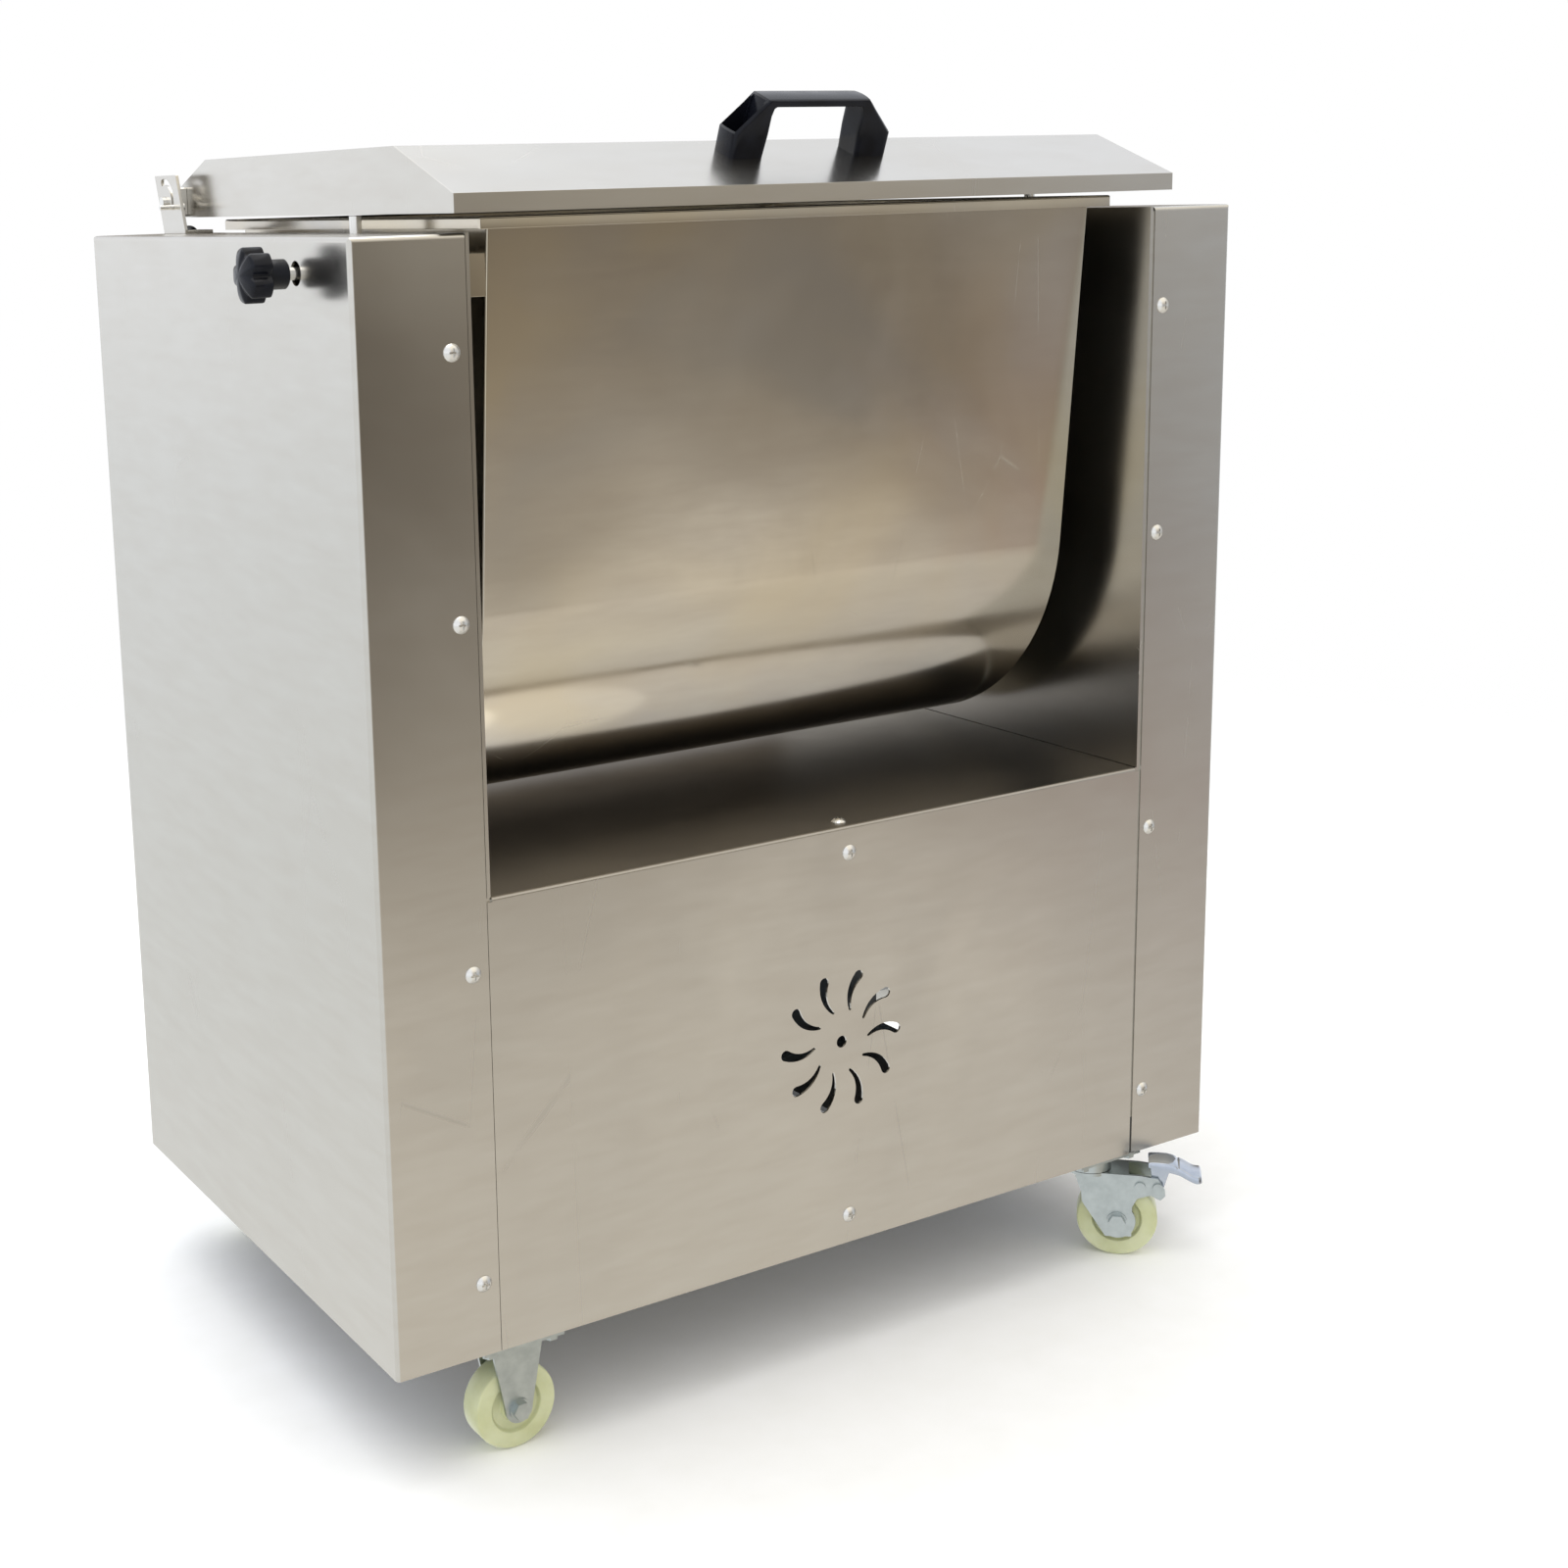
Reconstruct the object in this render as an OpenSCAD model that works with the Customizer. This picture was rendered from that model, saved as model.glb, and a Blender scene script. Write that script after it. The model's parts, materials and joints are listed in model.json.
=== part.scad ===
// Commercial meat mixer: tilting tank between two columns, hinged lid, four casters.
// Millimetres, front toward -Y, up is +Z, floor at z = 0, centre of the cabinet at x = y = 0.

/* [Cabinet] */
// Width over both columns
body_w = 700; // [400:1:1100]
// Depth of the cabinet
body_d = 438; // [250:1:800]
// Height of the sheet metal above its bottom edge
sheet_h = 711; // [400:1:1100]
// Height of the sheet metal's bottom edge above the floor
caster_h = 82; // [50:1:160]
// Width of one column seen from the front
column_w = 78; // [40:0.5:200]
// Height of the deck above the sheet metal's bottom edge
deck_h = 305; // [100:1:600]
// Thickness of covers, deck, apron and rear panel
sheet_t = 1.5; // [0.8:0.1:4]
// Thickness of the two inner side walls
wall_t = 2.5; // [1:0.1:8]
// Outer radius of the covers' folded edges
edge_r = 3; // [1.6:0.1:12]
// Outer radius of the deck's front fold
fold_r = 2.2; // [1.6:0.1:10]
// Seam between the left cover and its wall
left_seam = 0.4; // [0:0.1:5]
// Seam between the right cover and its wall
right_seam = 2; // [0:0.1:6]
// Width of the walls' screw flanges
flange_w = 26; // [10:0.5:60]
// Play between deck and each wall
deck_play = 1; // [0.1:0.1:4]
// Side of the relief notch beside the fold
notch = 3; // [1:0.1:10]
// Height and width of the base angle
frame_leg = 29; // [15:1:60]
// Thickness of the base angle
frame_t = 2.5; // [1.5:0.1:8]
// Thickness of the corner plates
corner_t = 4; // [2:0.1:12]
// Length of the corner plates
corner_w = 126; // [60:1:250]
// Depth of the corner plates
corner_d = 56; // [40:1:150]
// Side of the two deck rails
rail = 25; // [10:1:60]
// Wall of the deck rails
rail_t = 2; // [1:0.1:6]

/* [Vent] */
// Height of the vent's centre above the sheet's bottom edge
vent_h = 151; // [60:1:400]
// Radius of the small centre hole
vent_hole_r = 4.25; // [1:0.1:20]
// Distance of a slot's inner end from the centre
slot_in = 22.3; // [10:0.1:60]
// Distance of a slot's outer end from the centre
slot_out = 51.5; // [20:0.1:120]
// Radius of a slot's inner end
slot_r0 = 1; // [0.4:0.1:6]
// Radius of a slot's outer end
slot_r1 = 3.8; // [1:0.1:12]
// Sideways bulge of a slot's centre line
slot_bulge = 3.5; // [0:0.1:12]

/* [Screws] */
// Distance of the cover screws from the cover's outer edge
cover_screw_in = 64; // [20:0.5:120]
// Height of the lowest cover screw
cover_screw_1 = 50; // [20:0.5:200]
// Height of the second cover screw
cover_screw_2 = 257.5; // [100:0.5:400]
// Distance of the third cover screw below the top
cover_drop_3 = 232; // [120:0.5:400]
// Distance of the highest cover screw below the top
cover_drop_4 = 69; // [20:0.5:200]
// Sideways offset of the apron screws
apron_screw_x = 6.5; // [-50:0.5:50]
// Height of the lower apron screw
apron_screw_1 = 21; // [8:0.5:60]
// Distance of the upper apron screw below the deck
apron_drop = 19; // [8:0.5:60]
// Distance of the deck screw behind the front
deck_screw_in = 12; // [6:0.5:40]
// Half spacing of the rear panel's screws
rear_screw_x = 180; // [60:1:260]
// Shank radius of the sheet screws
screw_r = 3; // [1:0.1:6]
// Head radius of the sheet screws
screw_head_r = 5.5; // [2:0.1:12]
// Head height of the sheet screws
screw_head_h = 3.2; // [1:0.1:8]
// Radius of the head's dome
screw_dome_r = 7; // [4:0.1:20]
// Length of the shank below the head
screw_len = 9; // [4:0.1:25]
// Width of the cross recess
recess_w = 1.2; // [0.4:0.1:3]
// Length of the cross recess
recess_l = 5.6; // [2:0.1:10]
// Depth of the cross recess
recess_d = 1.6; // [0.4:0.1:4]

/* [Tank] */
// Gap between the deck and the tank's round bottom
tank_clear = 14; // [4:0.5:60]
// Distance of the tank's round bottom behind the cabinet's front
tank_in = 52; // [20:0.5:120]
// Lean of the front and rear walls, in degrees
tank_flare = 5; // [0:0.5:15]
// Gap between the tank's end and the wall
tank_side_gap = 29; // [16:0.5:80]
// Height of the rim's top above the column tops
rim_rise = 9; // [0:0.5:11]
// Overhang of the rim past the tank's ends
rim_over = 11; // [3:0.5:17]
// Distance of the rim behind the cabinet's front
rim_in = 20.5; // [8:0.5:60]
// Height of the rim's folded lip
lip_h = 7.6; // [3:0.1:25]
// Thickness of the tank's sheet
tank_t = 1.5; // [0.8:0.1:5]
// Thickness of the tank's end plates
end_t = 2; // [1:0.1:8]
// Radius of the trunnion tubes
trunnion_r = 25; // [15:0.5:60]
// Radius of the trunnion flanges
trunnion_flange_r = 40; // [25:0.5:90]
// Thickness of the trunnion flanges
trunnion_flange_t = 6; // [3:0.5:15]
// Reach of the trunnions past the wall's outer face
trunnion_reach = 14; // [8:0.5:40]
// Thickness of the shaft seals inside the tank
seal_t = 5; // [2:0.5:15]
// Radius of the shaft seals
seal_r = 26; // [18:0.5:60]
// Length of the bearing rings
bearing_l = 16; // [8:0.5:40]
// Outer radius of the bearing rings
bearing_r = 46; // [30:0.5:90]
// Radius of the circle of bearing bolts
bearing_bolt_c = 37; // [28:0.5:80]
// Radius of the bearing bolts
bearing_bolt_r = 4; // [2:0.1:8]
// Head radius of the bearing bolts
bearing_head_r = 6.5; // [3:0.1:14]
// Head height of the bearing bolts
bearing_head_h = 4; // [2:0.1:10]
// Running clearance of shafts in their bores
run_gap = 0.05; // [0.01:0.01:0.1]
// Free gap round parts that pass through holes
pass_gap = 1.5; // [0.5:0.1:6]

/* [Lock] */
// Distance of the lock's axis behind the cabinet's front
lock_in = 75; // [40:0.5:140]
// Distance of the lock's axis below the column tops
lock_drop = 21.5; // [15:0.5:40]
// Radius of the lock rod
lock_rod_r = 4; // [2:0.1:10]
// Radius of the lock's hole in the cover
lock_hole_r = 7.5; // [5:0.1:20]
// Thickness of the block on the tank's left end
block_t = 15; // [6:0.5:40]
// Height of the block
block_h = 26; // [14:0.5:60]
// Length of the block
block_l = 60; // [20:1:150]
// Distance of the block's front end from the lock's axis
block_front = 41; // [10:0.5:80]
// Distance of the block's bottom below the lock's axis
block_low = 17.5; // [8:0.5:40]
// Radius of the hole in the block
block_hole_r = 6; // [3:0.1:15]
// Gap between the rod's tip and the block
lock_tip_gap = 1; // [0.3:0.1:10]
// Gap between the knob's hub and the cover
hub_gap = 7; // [2:0.1:20]
// Radius of the knob's hub
hub_r = 9; // [6:0.1:20]
// Length of the knob's hub
hub_l = 10; // [4:0.1:30]
// Length of the knob's star head
star_l = 20; // [8:0.1:40]
// Radius of the circle of lobes
lobe_c = 11.5; // [6:0.1:30]
// Radius of each lobe
lobe_r = 5.2; // [2:0.1:15]
// Radius of the star's core
star_core_r = 12.6; // [5:0.1:30]
// Thickness of the knob's cap
star_cap_t = 1.5; // [0.5:0.1:5]
// Radius of the knob's cap
star_cap_r = 7.5; // [3:0.1:15]
// Outer radius of the guide bushes
bush_r = 9; // [6:0.1:20]
// Flange radius of the guide bushes
bush_flange_r = 13; // [8:0.1:30]
// Flange thickness of the guide bushes
bush_flange_t = 3; // [1.5:0.1:8]

/* [Lid] */
// Distance of the lid's ends inside the columns' outer faces
lid_in = 65; // [58:0.5:74]
// Gap between the lid's edge and the column tops
lid_gap = 11.5; // [4:0.1:40]
// Overhang of the lid past the cabinet's front
lid_over = 7; // [0:0.5:40]
// Distance of the lid's rear behind the pivot
lid_behind = 5.1; // [4:0.1:12]
// Height of the front skirt
skirt_front = 11.5; // [4:0.1:40]
// Height of the rear skirt
skirt_rear = 21.5; // [4:0.1:60]
// Height of the lid's flat top above its edge
lid_rise = 40.5; // [10:0.5:120]
// Depth of the lid's front slope
front_slope_l = 75; // [30:0.5:150]
// Depth of the lid's rear slope
rear_slope_l = 52.6; // [20:0.1:120]
// Thickness of the lid's sheet
lid_t = 1.2; // [0.6:0.1:4]

/* [Handle] */
// Distance of the handle's centre behind the lid's front, on the slope
handle_in = 52.1; // [20:0.1:70]
// Sideways place of the handle
handle_x = 1.5; // [-100:0.5:100]
// Half length of the handle over its feet
handle_half = 62; // [30:0.5:150]
// Height of the handle
handle_h = 38; // [20:0.5:90]
// Depth of the handle
handle_d = 21; // [10:0.5:50]
// Half width of the hand opening at the feet
grip_foot = 42; // [20:0.5:120]
// Half width of the hand opening under the bar
grip_top = 35; // [20:0.5:120]
// Thickness of the handle's bar
bar_t = 4.5; // [3:0.1:20]
// Height of the handle's outer shoulders
shoulder_h = 16; // [6:0.5:50]
// Half length of the handle's top
top_half = 40; // [15:0.5:120]
// Wall round the pockets in the handle's legs
pocket_t = 2; // [1:0.1:6]
// Floor under the pockets
pocket_floor = 6; // [3:0.1:20]
// Radius of the handle screws
handle_screw_r = 2.5; // [1:0.1:6]
// Head radius of the handle screws
handle_screw_head_r = 5; // [2:0.1:12]
// Head height of the handle screws
handle_screw_head_h = 3; // [1:0.1:8]
// Sideways distance of the handle screws
handle_screw_x = 52; // [20:0.5:130]
// Depth of the handle screws in the legs
handle_screw_in = 4.5; // [2:0.1:20]

/* [Hinge] */
// Distance of the lid's pivot in front of the cabinet's rear
pivot_in = 18.5; // [10:0.5:60]
// Height of the lid's pivot above the column tops
pivot_rise = 22.7; // [10:0.1:60]
// Radius of the lid rod
rod_r = 4; // [2:0.1:10]
// Distance of the hinge plates' outer faces inside the column's outer face
hinge_in = 51; // [46:0.5:54]
// Thickness of the hinge plates
hinge_t = 2.5; // [1:0.1:8]
// Depth of a hinge plate
hinge_d = 42; // [20:0.5:100]
// Height of a hinge plate
hinge_h = 42; // [20:0.5:100]
// Backward lean of a hinge plate over its height
hinge_lean = 13; // [0:0.5:40]
// Distance of the plate's lower front corner in front of the pivot
hinge_ahead = 36; // [10:0.5:90]
// Width of the inward foot
foot_w = 22; // [8:0.5:60]
// Radius of the arc slot
arc_r = 14.8; // [8:0.1:50]
// Half width of the arc slot
arc_half = 2.2; // [1:0.1:8]
// Radius of the stop pins
stop_r = 1.75; // [0.8:0.05:6]
// Reach of the stop pins past the hinge plates
stop_reach = 10; // [3:0.1:30]
// Angle of the stop pins below the forward direction, in degrees
stop_low = 14; // [0:1:60]
// Travel of the arc slot, in degrees
arc_travel = 122; // [60:1:170]
// Thickness of the stop arms
stop_arm_t = 3; // [1.5:0.1:10]
// Radius of the stop arms round the rod
stop_boss_r = 6.5; // [5:0.1:20]
// Thickness of the arms on the lid's ends
lid_arm_t = 5; // [2:0.1:15]
// Width of the arms on the lid's ends
lid_arm_w = 17; // [10:0.1:40]
// Reach of the arms above and below the pivot
lid_arm_up = 10.5; // [6:0.1:30]
// Gap between the arms of lid and rod
arm_gap = 0.5; // [0.3:0.1:4]
// Length of the rod's two carrier arms under the lid
carrier_l = 350; // [60:1:390]
// Width of the carrier arms
carrier_w = 6; // [2:0.5:9]
// Distance of the foot bolts in front of the pivot
foot_bolt_ahead = 16.5; // [8:0.5:28]
// Radius of the foot bolts
foot_bolt_r = 3; // [1.5:0.1:8]
// Head radius of the foot bolts
foot_head_r = 5.5; // [3:0.1:14]
// Head height of the foot bolts
foot_head_h = 3.2; // [1.5:0.1:10]

/* [Lid switch] */
// Distance of the plunger from the lid's end, inwards
plunger_in = 4; // [1:0.1:40]
// Distance of the plunger behind the lock's axis
plunger_behind = 59; // [20:0.5:120]
// Radius of the plunger
plunger_r = 4; // [1:0.1:10]
// Gap between the plunger and the lid's edge
plunger_gap = 0.8; // [0.3:0.1:5]
// Length of the plunger below the column top
plunger_deep = 24; // [10:0.5:80]
// Length of the plunger's bush
plunger_bush_l = 14; // [6:0.5:50]

/* [Drive] */
// Radius of the mixing shaft
shaft_r = 14; // [6:0.5:40]
// Gap between the paddles and the tank's outer radius
paddle_clear = 7; // [4:0.5:30]
// Radius of the paddle arms
paddle_arm_r = 7; // [3:0.5:20]
// Radius of the paddle hubs
paddle_hub_r = 21; // [10:0.5:50]
// Length of the paddle hubs
paddle_hub_l = 30; // [10:0.5:80]
// From the middle of an end paddle to the end of the tank
paddle_in = 75; // [50:0.5:200]
// Length of a paddle's blade
blade_l = 86; // [20:1:200]
// Height of a paddle's blade
blade_h = 34; // [10:1:100]
// Thickness of a paddle's blade
blade_t = 5; // [2:0.5:15]
// Twist of the blades, in degrees
blade_turn = 28; // [0:1:60]
// Gear module
gear_m = 3; // [1:0.25:6]
// Teeth of the shaft gear
gear_teeth = 75; // [30:1:120]
// Teeth of the pinion
pinion_teeth = 15; // [12:1:40]
// Pressure angle, in degrees
press_angle = 20; // [14.5:0.5:25]
// Backlash on the pitch circle
backlash = 0.4; // [0.1:0.05:1]
// Face width of the gears
gear_w = 12; // [5:0.5:40]
// Gap between bearing ring and gear
gear_gap = 3.5; // [1:0.1:15]
// Radius of the countershaft
counter_r = 10; // [5:0.5:30]
// Outer radius of the countershaft's bearings
counter_bearing_r = 24; // [14:0.5:60]
// Thickness of the outer bearing bridge
bridge_t = 5; // [3:0.1:15]
// Half span of the outer bearing bridge
bridge_half = 42; // [30:0.5:90]
// Radius of the bridge's posts
post_r = 6; // [3:0.1:15]
// Gap between gears and bearing bridge
bridge_gap = 3; // [1:0.1:15]
// Width of the pulleys
pulley_w = 18; // [8:0.5:50]
// Gap between bearing bridge and large pulley
pulley_gap = 4; // [1:0.1:20]
// Belt line radius of the large pulley
large_r = 110; // [50:1:200]
// Belt line radius of the motor pulley
small_r = 22; // [12:1:60]
// Height of the belt's section
belt_h = 7.5; // [3:0.1:20]
// Half width of the belt's outer side
belt_top = 5.8; // [2:0.1:15]
// Half width of the belt's inner side
belt_low = 4.3; // [1.5:0.1:12]
// Clearance between belt and pulley
belt_gap = 0.8; // [0.3:0.1:3]
// Height of a pulley's flange past the belt
pulley_lip = 1.5; // [0.5:0.1:6]
// Distance of the motor's axis behind the centre
motor_y = 60; // [-100:1:150]
// Height of the motor's axis above its plate
motor_shaft_h = 90; // [50:1:180]
// Radius of the motor's housing
motor_r = 66; // [40:1:120]
// Length of the motor's housing
motor_l = 180; // [80:1:320]
// Gap between motor housing and right wall
motor_gap = 18; // [4:0.5:80]
// Radius of the motor's shaft
motor_shaft_r = 9.5; // [5:0.5:25]
// Thickness of the motor plate
motor_plate_t = 4; // [2:0.1:12]
// Width of the motor plate
motor_plate_w = 150; // [60:1:300]
// Half width of the motor's feet
motor_foot_half = 62; // [30:1:120]
// Height of the motor's feet
motor_foot_h = 10; // [4:0.5:30]
// Side of the motor's terminal box
terminal_w = 64; // [30:1:120]
// Height of the terminal box above the housing
terminal_h = 22; // [10:1:60]
// Length of the fan cowl
cowl_l = 40; // [20:1:100]
// Thickness of the fan cowl
cowl_t = 1.5; // [0.8:0.1:5]
// Radius of the motor's fan
fan_r = 56; // [25:1:110]
// Width of the fan's blades
fan_w = 20; // [8:0.5:60]

/* [Controls] */
// Distance of the buttons below the column tops
button_drop = 56; // [44:1:200]
// Spacing of the buttons
button_pitch = 46; // [28:1:120]
// Length of the switch plate
switch_l = 150; // [60:1:300]
// Height of the switch plate
switch_h = 56; // [40:1:150]
// Thickness of the switch plate
switch_t = 2; // [1:0.1:6]
// Radius of the push buttons
button_r = 12; // [6:0.5:30]
// Radius of the buttons' stems
stem_r = 8; // [4:0.5:20]
// Standing height of the push buttons
button_out = 11; // [5:0.5:30]
// Travel of the push buttons
button_travel = 4; // [1:0.5:10]
// Radius of the stop button's head
stop_head_r = 20; // [12:0.5:45]
// Thickness of the stop button's head
stop_head_t = 12; // [6:0.5:30]
// Depth of the stems inside the column
stem_in = 14; // [6:0.5:40]
// Free gap round the button stems
stem_gap = 0.4; // [0.3:0.1:2]
// Depth of the electrical box
box_d = 30; // [20:1:80]
// Wall of the electrical box
box_t = 2; // [1:0.1:5]
// Sideways place of the cable inlet
gland_x = 150; // [-250:1:250]
// Height of the cable inlet above the sheet's bottom edge
gland_h = 80; // [45:1:250]
// Bore radius of the cable inlet
gland_bore_r = 4.6; // [2:0.1:12]
// Thread radius of the cable inlet
gland_thread_r = 10; // [5:0.1:25]
// Radius over the corners of the inlet's nuts
gland_nut_r = 14; // [8:0.1:35]
// Reach of the cable inlet behind the panel
gland_out = 20; // [8:0.5:50]
// Length of the cable inlet inside the panel
gland_in = 9; // [4:0.5:30]
// Thickness of the inlet's nuts
gland_nut_t = 6; // [3:0.1:15]

/* [Casters] */
// Distance of the caster centres inside the columns' outer faces
caster_in_x = 93; // [50:1:160]
// Distance of the caster centres inside the front and rear
caster_in_y = 25; // [10:1:90]
// Radius of the wheels
wheel_r = 30; // [15:0.5:80]
// Width of the wheels
wheel_w = 20; // [8:0.5:50]
// Edge chamfer of the wheels
wheel_edge = 2; // [0.5:0.1:8]
// Radius of the wheels' hubs
wheel_hub_r = 10; // [6:0.1:30]
// Depth of the wheels' side recesses
wheel_dish = 3; // [0.5:0.1:8]
// Inner radius of the wheels' rims
wheel_rim_r = 18.6; // [12:0.1:70]
// Half length of a caster plate
cast_plate_x = 30; // [18:0.5:70]
// Half depth of a caster plate
cast_plate_y = 24; // [15:0.5:60]
// Thickness of plates and cheeks
cast_t = 2.5; // [1.5:0.1:6]
// Gap between wheel and cheeks
cheek_gap = 1.5; // [0.5:0.1:6]
// Radius of the axles
axle_r = 4; // [2:0.1:12]
// Radius of the axles' heads
axle_head_r = 6.5; // [4:0.1:16]
// Thickness of the axles' heads
axle_head_t = 5; // [2:0.1:12]
// Half width of a rigid cheek at the top
rigid_top = 19.5; // [10:0.1:45]
// Half width of a rigid cheek at the axle
rigid_low = 10; // [6:0.1:30]
// Sideways place of the caster bolts
cast_bolt_x = 23; // [12:0.5:60]
// Fore and aft place of the caster bolts
cast_bolt_y = 17.5; // [9:0.5:50]
// Radius of the caster bolts
cast_bolt_r = 3; // [1.5:0.1:8]
// Radius of the caster bolts' heads
cast_head_r = 5; // [3:0.1:12]
// Thickness of the caster bolts' heads
cast_head_t = 3.5; // [2:0.1:8]
// Trail of the swivel casters
trail = 22; // [8:0.5:60]
// Angle of the front swivel caster in the rest position, in degrees
swivel_yaw = -43.9; // [-180:0.1:180]
// Radius of the swivel race
race_r = 17; // [10:0.5:40]
// Distance of the swivel fork's top below the plate's top
fork_drop = 14; // [8:0.1:40]
// Free gap above the swivel fork
fork_gap = 0.4; // [0.3:0.1:3]
// Radius of the swivel king pins
king_r = 6; // [3:0.1:15]
// Head radius of the king pins
king_head_r = 9; // [5:0.1:20]
// Head thickness of the king pins
king_head_t = 3; // [1.5:0.1:8]
// Distance of the brake rivet from the swivel axis
brake_x = 51.7; // [25:0.1:120]
// Distance of the brake rivet below the plate's top
brake_drop = 22.8; // [10:0.1:60]
// Distance of the fork rivet from the swivel axis
rivet_x = 38.5; // [15:0.1:100]
// Radius of the rivets' shanks
rivet_r = 2.5; // [1:0.1:8]
// Radius of the rivets' heads
rivet_head_r = 4; // [2:0.1:10]
// Height of the rivets' heads
rivet_head_h = 1.8; // [0.6:0.1:5]
// Thickness of the pedal's sheet
pedal_t = 2.4; // [1:0.1:6]
// Half width of the pedal's foot end
pedal_half = 12.5; // [8:0.1:40]
// Free gap beside the pedal's lugs
pedal_gap = 0.5; // [0.3:0.1:3]

/* [Hidden] */
$fn = 96;
// Smallest overshoot of a cut
cut = sheet_t / 2;
half_w = body_w / 2;
half_d = body_d / 2;
top_z = caster_h + sheet_h;
deck_z = caster_h + deck_h;
wall_in = half_w - column_w;
wall_out = wall_in + wall_t;
skin_in = half_d - sheet_t;
side_in = half_w - sheet_t;
frame_top = caster_h + frame_leg;
deck_half = wall_in - deck_play;
tank_r = half_d - tank_in;
axis_z = deck_z + tank_clear + tank_r;
tank_half = wall_in - tank_side_gap;
rim_top = top_z + rim_rise - axis_z;
rim_x = tank_half + rim_over;
rim_y = half_d - rim_in;
paddle_sweep = tank_r - paddle_clear;
paddle_pitch = (tank_half - paddle_in) * 2 / 3;
cover_screw_x = half_w - cover_screw_in;
upper_screws = [cover_screw_2, sheet_h - cover_drop_3, sheet_h - cover_drop_4];
screw_zs = concat([cover_screw_1], upper_screws);
apron_screw_2 = deck_h - apron_drop;
lock_y = half_d - lock_in;
lock_z = top_z - lock_drop;
lock_tip = tank_half + block_t + lock_tip_gap;
hub_x = half_w + hub_gap;
knob_reach = hub_x + hub_l + star_l;
pivot_y = half_d - pivot_in;
pivot_z = top_z + pivot_rise;
lid_z = top_z + lid_gap;
lid_half = half_w - lid_in;
lid_front = half_d + lid_over;
lid_rear = pivot_y + lid_behind;
ridge_front = lid_front - front_slope_l;
ridge_rear = lid_rear - rear_slope_l;
slope = atan2(lid_rise - skirt_front, front_slope_l);
rear_slope = atan2(lid_rise - skirt_rear, rear_slope_l);
handle_y = lid_front - handle_in;
handle_z = lid_z + skirt_front + handle_in * tan(slope);
hinge_x = half_w - hinge_in;
plate_in = hinge_x - hinge_t;
foot_bolt_y = pivot_y - foot_bolt_ahead;
lid_arm_out = lid_half + lid_arm_t;
stop_arm_in = lid_arm_out + arm_gap;
carrier_out = lid_half - lid_t - pass_gap;
trunnion_end = wall_out + trunnion_reach;
bearing_out = wall_out + bearing_l;
gear_x = bearing_out + gear_gap;
gear_end = gear_x + gear_w;
pitch_gear = gear_m * gear_teeth / 2;
pitch_pinion = gear_m * pinion_teeth / 2;
counter_z = axis_z - pitch_gear - pitch_pinion;
bridge_x = gear_end + bridge_gap;
pulley_x = bridge_x + bridge_t + pulley_gap;
pulley_mid = pulley_x + pulley_w / 2;
pulley_end = pulley_x + pulley_w;
motor_z = frame_top + motor_plate_t + motor_shaft_h;
motor_end = wall_in - motor_gap;
motor_start = motor_end - motor_l;
fan_end = motor_start - cowl_t * 2;
belt_run = norm([motor_y, motor_z - counter_z]);
belt_dir = atan2(motor_z - counter_z, motor_y);
belt_wrap = acos((large_r - small_r) / belt_run);
belt_free = sqrt(belt_run * belt_run - (large_r - small_r) * (large_r - small_r));
button_z = top_z - button_drop;
gland_z = caster_h + gland_h;
plunger_x = lid_half - plunger_in;
plunger_y = lock_y - plunger_behind;
caster_x = half_w - caster_in_x;
caster_y = half_d - caster_in_y;
cast_low = caster_h - cast_t;
cheek_in = wheel_w / 2 + cheek_gap;
cheek_out = cheek_in + cast_t;
fork_z = caster_h - fork_drop;
brake_z = caster_h - brake_drop;
// Parts of named sizes.
addendum_share = 0.9;
dedendum_share = 1.25;
pulley_hole_share = 0.55;
gear_hole_share = 0.58;
fan_hub_share = 1.6;
fan_root_share = 1.3;
fan_shaft_share = 0.7;
gland_cap_share = 0.9;
stop_arm_share = 1.6;
washer_share = 1.15;
washer_t_share = 0.25;
pedal_lug_share = 1.1;
steel = [0.80, 0.80, 0.78];
bright = [0.88, 0.88, 0.87];
zinc = [0.72, 0.75, 0.80];
dark = [0.10, 0.10, 0.11];
nylon = [0.86, 0.88, 0.70];
motor_grey = [0.40, 0.44, 0.47];
iron = [0.32, 0.32, 0.34];
red = [0.75, 0.10, 0.08];
green = [0.10, 0.50, 0.20];

// A box between two corners.
module box(x0, x1, y0, y1, z0, z1) {
    translate([x0, y0, z0]) cube([x1 - x0, y1 - y0, z1 - z0]);
}

// A round bar along X from x0 to x1.
module bar_x(r, x0, x1) {
    translate([x0, 0, 0]) rotate([0, 90, 0]) cylinder(r = r, h = x1 - x0);
}

// A round bar along Y from y0 to y1.
module bar_y(r, y0, y1) {
    translate([0, y0, 0]) rotate([-90, 0, 0]) cylinder(r = r, h = y1 - y0);
}

// A round bar along Z from z0 to z1.
module bar_z(r, z0, z1) {
    translate([0, 0, z0]) cylinder(r = r, h = z1 - z0);
}

// A flat drawing in the Y-Z plane, carried along X from x0 to x1.
module along_x(x0, x1) {
    translate([x0, 0, 0]) rotate([90, 0, 90]) linear_extrude(height = x1 - x0) children();
}

// Its children turned so that their Z axis lies along X and their X axis along Y.
module axis_x() {
    rotate([90, 0, 90]) children();
}

module both_sides() {
    children();
    mirror([1, 0, 0]) children();
}

module both_ends() {
    children();
    mirror([0, 1, 0]) children();
}

// A rectangle from zero to a, b with its far corner rounded.
module cap_corner(a, b, r) {
    square([a, b - r]);
    square([a - r, b]);
    translate([a - r, b - r]) circle(r = r);
}

// A rectangle of width a and height b with both upper corners rounded.
module cap_two(a, b, r) {
    cap_corner(a / 2, b, r);
    mirror([1, 0]) cap_corner(a / 2, b, r);
}

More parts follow.
